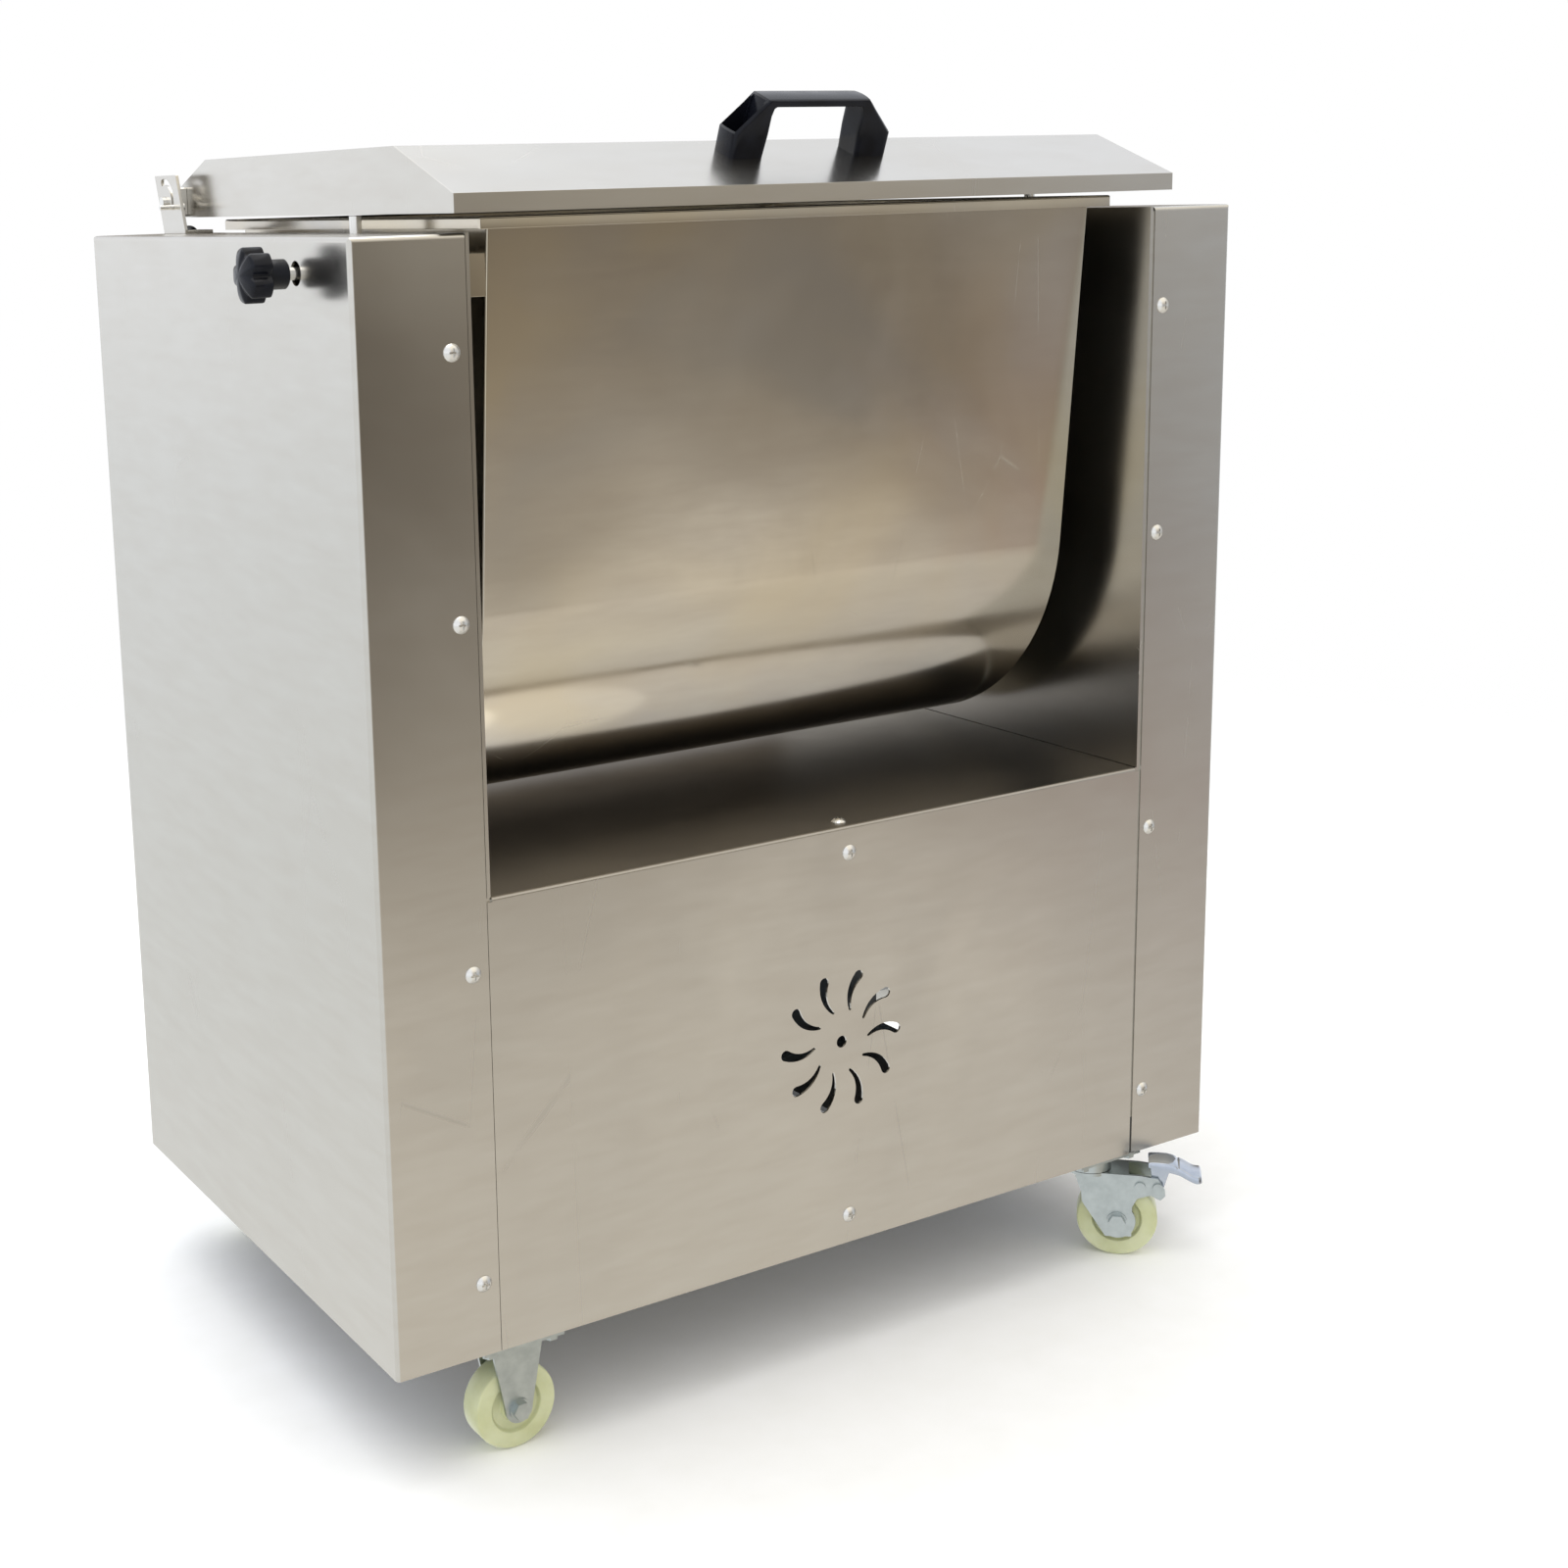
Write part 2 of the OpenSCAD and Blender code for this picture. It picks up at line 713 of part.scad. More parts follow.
// A box open to the inner side and below, with rounded outer edges, for the right side.
module column_block(x0, inset, r) {
    w = half_w - inset - x0;
    d = body_d - 2 * inset;
    h = sheet_h - inset;
    intersection() {
        translate([x0, 0, caster_h]) rotate([0, 0, -90]) linear_extrude(height = h) cap_two(d, w, r);
        translate([x0, 0, caster_h]) rotate([90, 0, 90]) linear_extrude(height = w) cap_two(d, h, r);
        translate([x0, d / 2, caster_h]) rotate([90, 0, 0]) linear_extrude(height = d) cap_corner(w, h, r);
    }
}

module cover(seam) {
    x0 = wall_out + seam;
    difference() {
        column_block(x0, 0, edge_r);
        column_block(x0, sheet_t, edge_r - sheet_t);
        box(x0 - cut, x0 + cut, -skin_in + cut, skin_in - cut, caster_h + cut, top_z - sheet_t - cut);
        box(x0 - cut, side_in - edge_r, -skin_in + edge_r, skin_in - edge_r, caster_h - cut, caster_h + cut);
        for (s = [-1, 1], z = screw_zs)
            translate([cover_screw_x, 0, caster_h + z])
                bar_y(screw_r, s * half_d - screw_head_h, s * half_d + screw_head_h);
        translate([hinge_x - foot_w / 2, foot_bolt_y, 0]) bar_z(foot_bolt_r, top_z - screw_len, top_z + cut);
    }
}

module left_cover() color(steel) mirror([1, 0, 0]) difference() {
    cover(left_seam);
    translate([0, -lock_y, lock_z]) bar_x(lock_hole_r, side_in - cut, half_w + cut);
    translate([plunger_x, -plunger_y, 0]) bar_z(plunger_r + stem_gap, top_z - screw_len, top_z + cut);
}

module right_cover() color(steel) difference() {
    cover(right_seam);
    for (i = [-1, 0, 1]) translate([0, i * button_pitch, button_z])
        bar_x(stem_r + stem_gap, side_in - cut, half_w + cut);
    translate([plunger_x, -plunger_y, 0]) bar_z(plunger_r, top_z - screw_len, top_z + cut);
}

// A vertical wall with screw flanges, drawn for the right side.
module inner_wall() {
    difference() {
        union() {
            box(wall_in, wall_out, -half_d, half_d, deck_z, top_z);
            box(wall_in, wall_out, -skin_in, skin_in, frame_top, deck_z + cut);
            both_ends() box(wall_in, wall_out + flange_w, -skin_in, -skin_in + wall_t,
                frame_top, top_z - edge_r);
        }
        translate([0, 0, axis_z]) {
            bar_x(trunnion_r + pass_gap, wall_in - cut, wall_out + cut);
            bearing_bolt_places() bar_x(bearing_bolt_r, wall_in - cut, wall_out + cut);
        }
        for (s = [-1, 1], z = upper_screws)
            translate([cover_screw_x, 0, caster_h + z])
                bar_y(screw_r, s * skin_in - screw_len, s * skin_in + screw_len);
        for (s = [-1, 1]) translate([cover_screw_x, s * skin_in, caster_h + cover_screw_1])
            bar_y(screw_r, -screw_len, screw_len);
    }
}

module bearing_bolt_places() {
    for (a = [45:90:315])
        translate([0, bearing_bolt_c * cos(a), bearing_bolt_c * sin(a)]) children();
}

module left_inner_wall() color(steel) mirror([1, 0, 0]) difference() {
    inner_wall();
    translate([0, -lock_y, lock_z]) bar_x(bush_r, wall_in - cut, wall_out + cut);
}

module right_inner_wall() color(steel) difference() {
    inner_wall();
    translate([0, motor_y, motor_z]) bar_x(motor_shaft_r + pass_gap * 2, wall_in - cut, wall_out + cut);
}

module base_frame() color(iron) {
    difference() {
        translate([0, 0, caster_h]) linear_extrude(height = frame_leg)
            for (a = [0, 180]) rotate(a) cap_two(side_in * 2, skin_in, edge_r);
        box(-side_in + frame_t, side_in - frame_t, -skin_in + frame_t, skin_in - frame_t,
            caster_h - cut, frame_top - frame_t);
        box(-side_in + frame_leg, side_in - frame_leg, -skin_in + frame_leg, skin_in - frame_leg,
            frame_top - frame_t - cut, frame_top + cut);
        translate([apron_screw_x, 0, caster_h + apron_screw_1])
            bar_y(screw_r, -half_d, -half_d + screw_len * 2);
        for (s = [-1, 1]) translate([s * rear_screw_x, 0, caster_h + apron_screw_1])
            bar_y(screw_r, half_d - screw_len * 2, half_d);
    }
    both_sides() both_ends() difference() {
        box(side_in - corner_w, side_in - frame_t, -skin_in + frame_t, -skin_in + corner_d,
            caster_h, caster_h + corner_t);
        caster_bolt_places() bar_z(cast_bolt_r, caster_h - cut, caster_h + corner_t + cut);
    }
}

module caster_bolt_places() {
    for (sx = [-1, 1], sy = [-1, 1])
        translate([caster_x + sx * cast_bolt_x, -caster_y + sy * cast_bolt_y, 0]) children();
}

module deck_apron() color(steel) difference() {
    intersection() {
        union() {
            box(-wall_out, wall_out, -half_d, -skin_in, caster_h, deck_z - notch);
            box(-deck_half, deck_half, -half_d, -skin_in, deck_z - notch * 2, deck_z);
            box(-deck_half, deck_half, -half_d, skin_in, deck_z - sheet_t, deck_z);
        }
        translate([-half_w, skin_in, caster_h]) rotate([90, 0, 90]) linear_extrude(height = body_w)
            mirror([1, 0]) cap_corner(half_d + skin_in, deck_h, fold_r);
    }
    for (z = [apron_screw_1, apron_screw_2]) translate([apron_screw_x, 0, caster_h + z])
        bar_y(screw_r, -half_d - cut, -skin_in + cut);
    translate([apron_screw_x, -half_d + deck_screw_in, 0])
        bar_z(screw_r, deck_z - sheet_t - cut, deck_z + cut);
    translate([0, -skin_in + cut, caster_h + vent_h]) rotate([90, 0, 0])
        linear_extrude(height = sheet_t + cut * 2) vent();
}

module deck_rail() {
    difference() {
        box(-wall_in, wall_in, -skin_in, -skin_in + rail, deck_z - sheet_t - rail, deck_z - sheet_t);
        box(-wall_in - cut, wall_in + cut, -skin_in + rail_t, -skin_in + rail - rail_t,
            deck_z - sheet_t - rail + rail_t, deck_z - sheet_t - rail_t);
    }
}

module deck_rails() color(iron) {
    difference() {
        deck_rail();
        translate([apron_screw_x, 0, caster_h + apron_screw_2])
            bar_y(screw_r, -half_d, -skin_in + rail_t * 2);
        translate([apron_screw_x, -half_d + deck_screw_in, 0])
            bar_z(screw_r, deck_z - sheet_t * 2 - rail_t, deck_z);
    }
    mirror([0, 1, 0]) difference() {
        deck_rail();
        for (s = [-1, 1]) translate([s * rear_screw_x, 0, caster_h + apron_screw_2])
            bar_y(screw_r, -half_d, -skin_in + rail_t * 2);
    }
}

module rear_panel() color(steel) difference() {
    box(-wall_out, wall_out, skin_in, half_d, caster_h, deck_z);
    translate([0, half_d + cut, caster_h + vent_h]) rotate([90, 0, 0])
        linear_extrude(height = sheet_t + cut * 2) vent();
    for (s = [-1, 1], z = [apron_screw_1, apron_screw_2])
        translate([s * rear_screw_x, 0, caster_h + z]) bar_y(screw_r, skin_in - cut, half_d + cut);
    translate([gland_x, 0, gland_z]) bar_y(gland_thread_r, skin_in - cut, half_d + cut);
}

// One curved slot, its centre line at angle zero.
slot_steps = 7;
slot_a = slot_in + slot_r0;
slot_b = slot_out - slot_r1;
function slot_mid(t) = [slot_a + (slot_b - slot_a) * t, slot_bulge * 4 * t * (1 - t)];
function slot_dir(t) = let (v = [slot_b - slot_a, slot_bulge * 4 * (1 - 2 * t)]) v / norm(v);
function slot_side(t, s) = let (d = slot_dir(t), w = slot_r0 + (slot_r1 - slot_r0) * t)
    slot_mid(t) + s * w * [-d[1], d[0]];
function slot_cap(t, s, a) = let (d = slot_dir(t), w = slot_r0 + (slot_r1 - slot_r0) * t)
    slot_mid(t) + w * (d * s * cos(a) + [-d[1], d[0]] * sin(a));

module vent() {
    circle(r = vent_hole_r);
    for (i = [0:9]) rotate(i * 36)
        polygon(concat(
            [for (k = [0:slot_steps]) slot_side(k / slot_steps, -1)],
            [for (a = [-60:30:60]) slot_cap(1, 1, a)],
            [for (k = [slot_steps:-1:0]) slot_side(k / slot_steps, 1)],
            [for (a = [45:-45:-45]) slot_cap(0, -1, a)]));
}

// A pan head screw with a cross recess, its head up, its seat at z = 0.
module pan_screw(shank) {
    difference() {
        union() {
            intersection() {
                cylinder(r = screw_head_r, h = screw_head_h);
                translate([0, 0, screw_head_h - screw_dome_r]) sphere(r = screw_dome_r);
            }
            translate([0, 0, -shank]) cylinder(r = screw_r, h = shank + screw_head_h / 2);
        }
        for (a = [0, 90]) rotate([0, 0, a])
            translate([-recess_l / 2, -recess_w / 2, screw_head_h - recess_d])
                cube([recess_l, recess_w, recess_d + screw_head_h]);
    }
}

module cover_screws() color(bright) {
    both_sides() both_ends() for (z = screw_zs)
        translate([cover_screw_x, -half_d, caster_h + z]) rotate([90, 0, 0]) pan_screw(screw_len);
}

module panel_screws() color(bright) {
    for (z = [apron_screw_1, apron_screw_2])
        translate([apron_screw_x, -half_d, caster_h + z]) rotate([90, 0, 0]) pan_screw(screw_len);
    for (s = [-1, 1], z = [apron_screw_1, apron_screw_2])
        translate([s * rear_screw_x, half_d, caster_h + z]) rotate([-90, 0, 0]) pan_screw(screw_len);
    translate([apron_screw_x, -half_d + deck_screw_in, deck_z]) pan_screw(screw_len);
}

module motor_plate() color(iron) {
    mid = motor_end - motor_l / 2;
    box(mid - motor_plate_w / 2, mid + motor_plate_w / 2, -skin_in, skin_in,
        frame_top, frame_top + motor_plate_t);
}

module motor_housing() color(motor_grey) difference() {
    union() {
        translate([0, motor_y, motor_z]) bar_x(motor_r, motor_start, motor_end);
        box(motor_start + terminal_w / 2, motor_end - terminal_w / 2, motor_y - motor_foot_half,
            motor_y + motor_foot_half, frame_top + motor_plate_t, frame_top + motor_plate_t + motor_foot_h);
        for (s = [-1, 1]) box(motor_start + terminal_w / 2, motor_end - terminal_w / 2,
            motor_y + s * motor_r / 2 - motor_foot_h / 2, motor_y + s * motor_r / 2 + motor_foot_h / 2,
            frame_top + motor_plate_t, motor_z - motor_r / 2);
        box(motor_end - terminal_w * 2, motor_end - terminal_w, motor_y - terminal_w / 2,
            motor_y + terminal_w / 2, motor_z, motor_z + motor_r + terminal_h);
    }
    translate([0, motor_y, motor_z]) bar_x(motor_shaft_r + run_gap, motor_start - cut, motor_end + cut);
}

module fan_cowl() color(iron) translate([0, motor_y, motor_z]) difference() {
    bar_x(motor_r, motor_start - cowl_l, motor_start);
    bar_x(motor_r - cowl_t, motor_start - cowl_l + cowl_t, motor_start + cut);
    for (a = [0:45:315]) rotate([a, 0, 0])
        box(motor_start - cowl_l - cut, motor_start - cowl_l + cowl_t + cut, -cowl_t * 2, cowl_t * 2,
            motor_shaft_r * 2, fan_r);
    bar_x(motor_shaft_r, motor_start - cowl_l - cut, motor_start);
}

module tank_bearings() color(iron) both_sides() translate([0, 0, axis_z]) difference() {
    bar_x(bearing_r, wall_out, bearing_out);
    bar_x(trunnion_r + run_gap, wall_out - cut, bearing_out + cut);
    bearing_bolt_places() bar_x(bearing_bolt_r, wall_out - cut, bearing_out + cut);
}

module bearing_bolts() color(zinc) both_sides() translate([0, 0, axis_z]) bearing_bolt_places() {
    bar_x(bearing_head_r, wall_in - bearing_head_h, wall_in);
    bar_x(bearing_bolt_r, wall_in - bearing_head_h / 2, bearing_out);
}

module countershaft_bearings() color(iron) translate([0, 0, counter_z]) difference() {
    union() {
        bar_x(counter_bearing_r, wall_out, bearing_out);
        box(wall_out, bearing_out - post_r, -bridge_half, bridge_half, -post_r, post_r);
        for (s = [-1, 1]) translate([0, s * bridge_half, 0]) bar_x(post_r, wall_out, bridge_x + bridge_t);
        box(bridge_x, bridge_x + bridge_t, -bridge_half, bridge_half, -post_r, post_r);
        bar_x(counter_bearing_r - post_r, bridge_x, bridge_x + bridge_t);
    }
    bar_x(counter_r + run_gap, wall_out - cut, bridge_x + bridge_t + cut);
}

function belt_section(r) = [[r - belt_h / 2, -belt_low], [r + belt_h / 2, -belt_top],
    [r + belt_h / 2, belt_top], [r - belt_h / 2, belt_low]];

module drive_belt() color(dark) translate([pulley_mid, 0, 0]) axis_x() {
    translate([0, counter_z, 0]) rotate([0, 0, belt_dir + belt_wrap])
        rotate_extrude(angle = 360 - 2 * belt_wrap) polygon(belt_section(large_r));
    translate([motor_y, motor_z, 0]) rotate([0, 0, belt_dir - belt_wrap])
        rotate_extrude(angle = 2 * belt_wrap) polygon(belt_section(small_r));
    translate([0, counter_z, 0]) rotate([0, 0, belt_dir + belt_wrap])
        rotate([90, 0, 0]) linear_extrude(height = belt_free) polygon(belt_section(large_r));
    translate([0, counter_z, 0]) rotate([0, 0, belt_dir - belt_wrap]) translate([0, belt_free, 0])
        rotate([90, 0, 0]) linear_extrude(height = belt_free) polygon(belt_section(large_r));
}

// A grooved pulley about Z, its middle at z = 0.
module pulley(r, bore) {
    out = r + belt_h / 2 + pulley_lip;
    low = r - belt_h / 2 - belt_gap;
    rotate_extrude() polygon([[bore, -pulley_w / 2], [out, -pulley_w / 2],
        [out, -belt_top - belt_gap * 1.25], [low, -belt_low - belt_gap / 2],
        [low, belt_low + belt_gap / 2], [out, belt_top + belt_gap * 1.25],
        [out, pulley_w / 2], [bore, pulley_w / 2]]);
}

module large_pulley() color(iron) translate([pulley_mid, 0, counter_z]) axis_x() difference() {
    pulley(large_r, counter_r);
    for (s = [-1, 1]) translate([0, 0, s * pulley_w / 2]) difference() {
        cylinder(r = large_r - belt_h * 2, h = pulley_w * 2 / 3, center = true);
        cylinder(r = counter_bearing_r, h = pulley_w, center = true);
    }
    for (a = [0:60:300]) rotate([0, 0, a]) translate([large_r * pulley_hole_share, 0, -pulley_w])
        cylinder(r = counter_bearing_r - post_r, h = pulley_w * 2);
}

module motor_pulley() color(iron) translate([pulley_mid, motor_y, motor_z]) axis_x()
    pulley(small_r, motor_shaft_r);

// Tooth flanks from the involute of the base circle.
function involute_turn(a) = tan(a) * 180 / PI - a;
function base_circle(n) = gear_m * n / 2 * cos(press_angle);
function flank(n, r) = let (p = gear_m * n / 2, b = base_circle(n))
    90 / n - backlash / p * 45 / PI + involute_turn(press_angle) - involute_turn(acos(min(1, b / r)));
function polar(r, a) = [r * cos(a), r * sin(a)];
flank_steps = 3;
function gear_points(n, root, tip) = let (b = base_circle(n), r0 = max(b, root))
    [for (i = [0:n - 1]) let (c = 360 * i / n) each concat(
        root < b ? [polar(root, c - flank(n, r0))] : [],
        [for (k = [0:flank_steps]) let (r = r0 + (tip - r0) * k / flank_steps) polar(r, c - flank(n, r))],
        [for (k = [flank_steps:-1:0]) let (r = r0 + (tip - r0) * k / flank_steps) polar(r, c + flank(n, r))],
        root < b ? [polar(root, c + flank(n, r0))] : [])];

module gear(n, bore) {
    p = gear_m * n / 2;
    linear_extrude(height = gear_w) difference() {
        polygon(gear_points(n, p - dedendum_share * gear_m, p + addendum_share * gear_m));
        circle(r = bore);
    }
}

module shaft_gear() color(iron) translate([gear_x, 0, axis_z]) axis_x() difference() {
    rotate([0, 0, -90]) gear(gear_teeth, shaft_r);
    for (s = [0, 1]) translate([0, 0, s * gear_w]) difference() {
        cylinder(r = pitch_gear - gear_m * 4, h = gear_w / 2, center = true);
        cylinder(r = paddle_hub_r + gear_m * 2, h = gear_w, center = true);
    }
    for (a = [0:60:300]) rotate([0, 0, a]) translate([pitch_gear * gear_hole_share, 0, -gear_w])
        cylinder(r = pitch_pinion - gear_m, h = gear_w * 3);
}

module pinion() color(iron) translate([gear_x, 0, counter_z]) axis_x()
    rotate([0, 0, 90 + 180 / pinion_teeth]) gear(pinion_teeth, counter_r);

module countershaft() color(bright) translate([0, 0, counter_z])
    bar_x(counter_r, wall_out + run_gap * 10, pulley_end + bridge_t / 2);

module motor_shaft() color(bright) translate([0, motor_y, motor_z])
    bar_x(motor_shaft_r, motor_start - cowl_l * fan_shaft_share, pulley_end + cut);

module motor_fan() color(dark) translate([0, motor_y, motor_z]) difference() {
    union() {
        bar_x(motor_shaft_r * fan_hub_share, motor_start - cowl_l * fan_shaft_share, fan_end);
        bar_x(fan_r, fan_end - cowl_t * 2, fan_end);
        for (a = [0:45:315]) rotate([a, 0, 0])
            box(fan_end - cowl_t * 2 - fan_w, fan_end - cowl_t, -cowl_t, cowl_t,
                motor_shaft_r * fan_root_share, fan_r);
    }
    bar_x(motor_shaft_r, motor_start - cowl_l, motor_start);
}

// Hinge plate in the Y-Z plane with the pivot at zero.
module hinge_outline() {
    back = hinge_d - hinge_ahead;
    polygon([[-hinge_ahead, -pivot_rise], [back, -pivot_rise], [back, hinge_t - pivot_rise],
        [back + hinge_lean, hinge_h - pivot_rise], [hinge_lean - hinge_ahead, hinge_h - pivot_rise],
        [-hinge_ahead, hinge_t - pivot_rise]]);
}

// The outline of the arc that the stop pin runs in, point by point.
arc_steps = 24;
end_steps = 8;
function sweep(r, a, b) = [for (i = [0:arc_steps]) polar(r, a + (b - a) * i / arc_steps)];
function round_end(a, side) = [for (i = [1:end_steps - 1])
    polar(arc_r, a) + polar(arc_half, a + side + 180 * i / end_steps)];

// That arc about X, as a solid from x0 to x1.
module arc_slot(x0, x1) {
    high = 180 + stop_low;
    low = high - arc_travel;
    translate([x0, 0, 0]) axis_x() linear_extrude(height = x1 - x0)
        polygon(concat(sweep(arc_r + arc_half, low, high), round_end(high, 0),
            sweep(arc_r - arc_half, high, low), round_end(low, 180)));
}

module hinge_plates() color(bright) both_sides() difference() {
    union() {
        translate([0, pivot_y, pivot_z]) along_x(plate_in, hinge_x) hinge_outline();
        box(hinge_x - foot_w, hinge_x, pivot_y - hinge_ahead, pivot_y - hinge_ahead + hinge_d,
            top_z, top_z + hinge_t);
    }
    translate([0, pivot_y, pivot_z]) {
        bar_x(rod_r + run_gap, plate_in - cut, hinge_x + cut);
        arc_slot(plate_in - cut, hinge_x + cut);
    }
    translate([hinge_x - foot_w / 2, foot_bolt_y, 0]) bar_z(foot_bolt_r, top_z - cut, top_z + hinge_t + cut);
}

module hinge_foot_bolts() color(dark) both_sides() translate([hinge_x - foot_w / 2, foot_bolt_y, 0]) {
    bar_z(foot_bolt_r, top_z - screw_len, top_z + hinge_t + cut);
    intersection() {
        bar_z(foot_head_r, top_z + hinge_t, top_z + hinge_t + foot_head_h);
        translate([0, 0, top_z + hinge_t + foot_head_h - screw_dome_r]) sphere(r = screw_dome_r);
    }
}

module lid_rod() color(bright) translate([0, pivot_y, pivot_z]) {
    arm = stop_r * stop_arm_share;
    bar_x(rod_r, -hinge_x - stop_arm_t, hinge_x + stop_arm_t);
    both_sides() {
        box(carrier_out - carrier_w, carrier_out, -carrier_l, 0, -arm, arm);
        bar_x(stop_boss_r, stop_arm_in, stop_arm_in + stop_arm_t);
        rotate([stop_low, 0, 0]) {
            box(stop_arm_in, stop_arm_in + stop_arm_t, -arc_r, 0, -arm, arm);
            translate([0, -arc_r, 0]) bar_x(arm, stop_arm_in, stop_arm_in + stop_arm_t);
            translate([0, -arc_r, 0]) bar_x(stop_r, stop_arm_in, hinge_x + stop_reach);
        }
    }
}

module hinge_arms() color(bright) translate([0, pivot_y, pivot_z]) both_sides() difference() {
    intersection() {
        box(lid_half, lid_arm_out, -lid_arm_w / 2, lid_arm_w / 2, -lid_arm_up, lid_arm_up);
        bar_x(norm([lid_arm_w / 2, lid_arm_up]) - cut, lid_half, lid_arm_out);
    }
    bar_x(rod_r + run_gap, lid_half - cut, lid_arm_out + cut);
}

module lid_outline(t) {
    polygon([[-lid_front + t, 0], [lid_rear - t, 0],
        [lid_rear - t, skirt_rear - t * tan(45 - rear_slope / 2)],
        [ridge_rear - t * tan(rear_slope / 2), lid_rise - t],
        [-ridge_front + t * tan(slope / 2), lid_rise - t],
        [-lid_front + t, skirt_front - t * tan(45 - slope / 2)]]);
}

module lid_shell() color(steel) difference() {
    translate([0, 0, lid_z]) along_x(-lid_half, lid_half) lid_outline(0);
    translate([0, 0, lid_z]) along_x(-lid_half + lid_t, lid_half - lid_t) lid_outline(lid_t);
    box(-lid_half + lid_t, lid_half - lid_t, -lid_front + lid_t, lid_rear - lid_t, lid_z - cut, lid_z + cut);
    translate([0, pivot_y, pivot_z]) bar_x(rod_r + stem_gap, -lid_half - cut, lid_half + cut);
    handle_place() for (s = [-1, 1]) translate([s * handle_screw_x, 0, 0])
        bar_z(handle_screw_r, -lid_t * 3, lid_t);
}

module handle_place() {
    translate([handle_x, -handle_y, handle_z]) rotate([slope, 0, 0]) children();
}

// Half of the bridge, in its own X-Z plane.
module handle_side(y0, y1) {
    translate([0, y1, 0]) rotate([90, 0, 0]) linear_extrude(height = y1 - y0) children();
}

module lid_handle() color(dark) handle_place() difference() {
    handle_side(-handle_d / 2, handle_d / 2) polygon([
        [-handle_half, 0], [-grip_foot, 0], [-grip_top, handle_h - bar_t], [grip_top, handle_h - bar_t],
        [grip_foot, 0], [handle_half, 0], [handle_half, shoulder_h], [top_half, handle_h],
        [-top_half, handle_h], [-handle_half, shoulder_h]]);
    both_sides() handle_side(-handle_d / 2 + pocket_t, handle_d / 2 - pocket_t) polygon([
        [grip_foot + pocket_t, pocket_floor], [handle_half - pocket_t, pocket_floor],
        [handle_half - pocket_t, handle_h * 2], [top_half + pocket_t / 2, handle_h * 2],
        [top_half + pocket_t / 2, handle_h - bar_t]]);
    for (s = [-1, 1]) translate([s * handle_screw_x, 0, 0]) bar_z(handle_screw_r, -cut, handle_screw_in);
}

module handle_screws() color(zinc) handle_place() for (s = [-1, 1])
    translate([s * handle_screw_x, 0, 0]) {
        bar_z(handle_screw_r, -lid_t * 1.5, handle_screw_in);
        translate([0, 0, -lid_t - handle_screw_head_h]) bar_z(handle_screw_head_r, 0, handle_screw_head_h);
    }

// The tank's outline about the mixing axis, in the Y-Z plane.
module tank_outline(r, h) {
    ty = r * cos(tank_flare);
    tz = -r * sin(tank_flare);
    wide = ty + (h - tz) * tan(tank_flare);
    circle(r = r, $fn = 192);
    polygon([[0, 0], [ty, tz], [wide, h], [-wide, h], [-ty, tz]]);
}

module tank_shell() color(steel) translate([0, 0, axis_z]) difference() {
    union() {
        along_x(-tank_half, tank_half) tank_outline(tank_r, rim_top - tank_t / 2);
        difference() {
            box(-rim_x, rim_x, -rim_y, rim_y, rim_top - lip_h, rim_top);
            box(-rim_x + tank_t, rim_x - tank_t, -rim_y + tank_t, rim_y - tank_t,
                rim_top - lip_h - cut, rim_top - tank_t);
        }
    }
    along_x(-tank_half + end_t, tank_half - end_t) tank_outline(tank_r - tank_t, rim_top + cut);
    bar_x(shaft_r + pass_gap, -tank_half - cut, tank_half + cut);
}

module trunnions() color(bright) both_sides() translate([0, 0, axis_z]) difference() {
    union() {
        bar_x(trunnion_flange_r, tank_half, tank_half + trunnion_flange_t);
        bar_x(trunnion_r, tank_half, trunnion_end);
    }
    bar_x(shaft_r + run_gap, tank_half - cut, trunnion_end + cut);
}

module shaft_seals() color(dark) both_sides() translate([0, 0, axis_z]) difference() {
    bar_x(seal_r, tank_half - end_t - seal_t, tank_half - end_t);
    bar_x(shaft_r + run_gap, tank_half - end_t - seal_t - cut, tank_half);
}

module lock_block() color(steel) mirror([1, 0, 0]) translate([0, -lock_y, lock_z]) difference() {
    box(tank_half, tank_half + block_t, -block_front, block_l - block_front, -block_low, block_h - block_low);
    bar_x(block_hole_r, tank_half - cut, tank_half + block_t + cut);
}

module mixing_shaft() color(bright) translate([0, 0, axis_z])
    bar_x(shaft_r, -trunnion_end, gear_end + bridge_gap / 2);

module paddles() color(bright) translate([0, 0, axis_z]) for (i = [0:3]) {
    side = i < 2 ? 1 : -1;
    translate([(i - 1.5) * paddle_pitch, 0, 0]) rotate([i * 90, 0, 0]) difference() {
        intersection() {
            union() {
                bar_x(paddle_hub_r, -paddle_hub_l / 2, paddle_hub_l / 2);
                bar_z(paddle_arm_r, 0, paddle_sweep - blade_h / 2);
                translate([0, 0, paddle_sweep - blade_h]) rotate([0, 0, side * blade_turn])
                    box(-blade_l / 2, blade_l / 2, -blade_t / 2, blade_t / 2, 0, blade_h);
            }
            bar_x(paddle_sweep, -blade_l, blade_l);
        }
        bar_x(shaft_r, -paddle_hub_l, paddle_hub_l);
    }
}

module lock_rod() color(bright) mirror([1, 0, 0]) translate([0, -lock_y, lock_z])
    bar_x(lock_rod_r, lock_tip, hub_x + hub_l + star_l / 2);

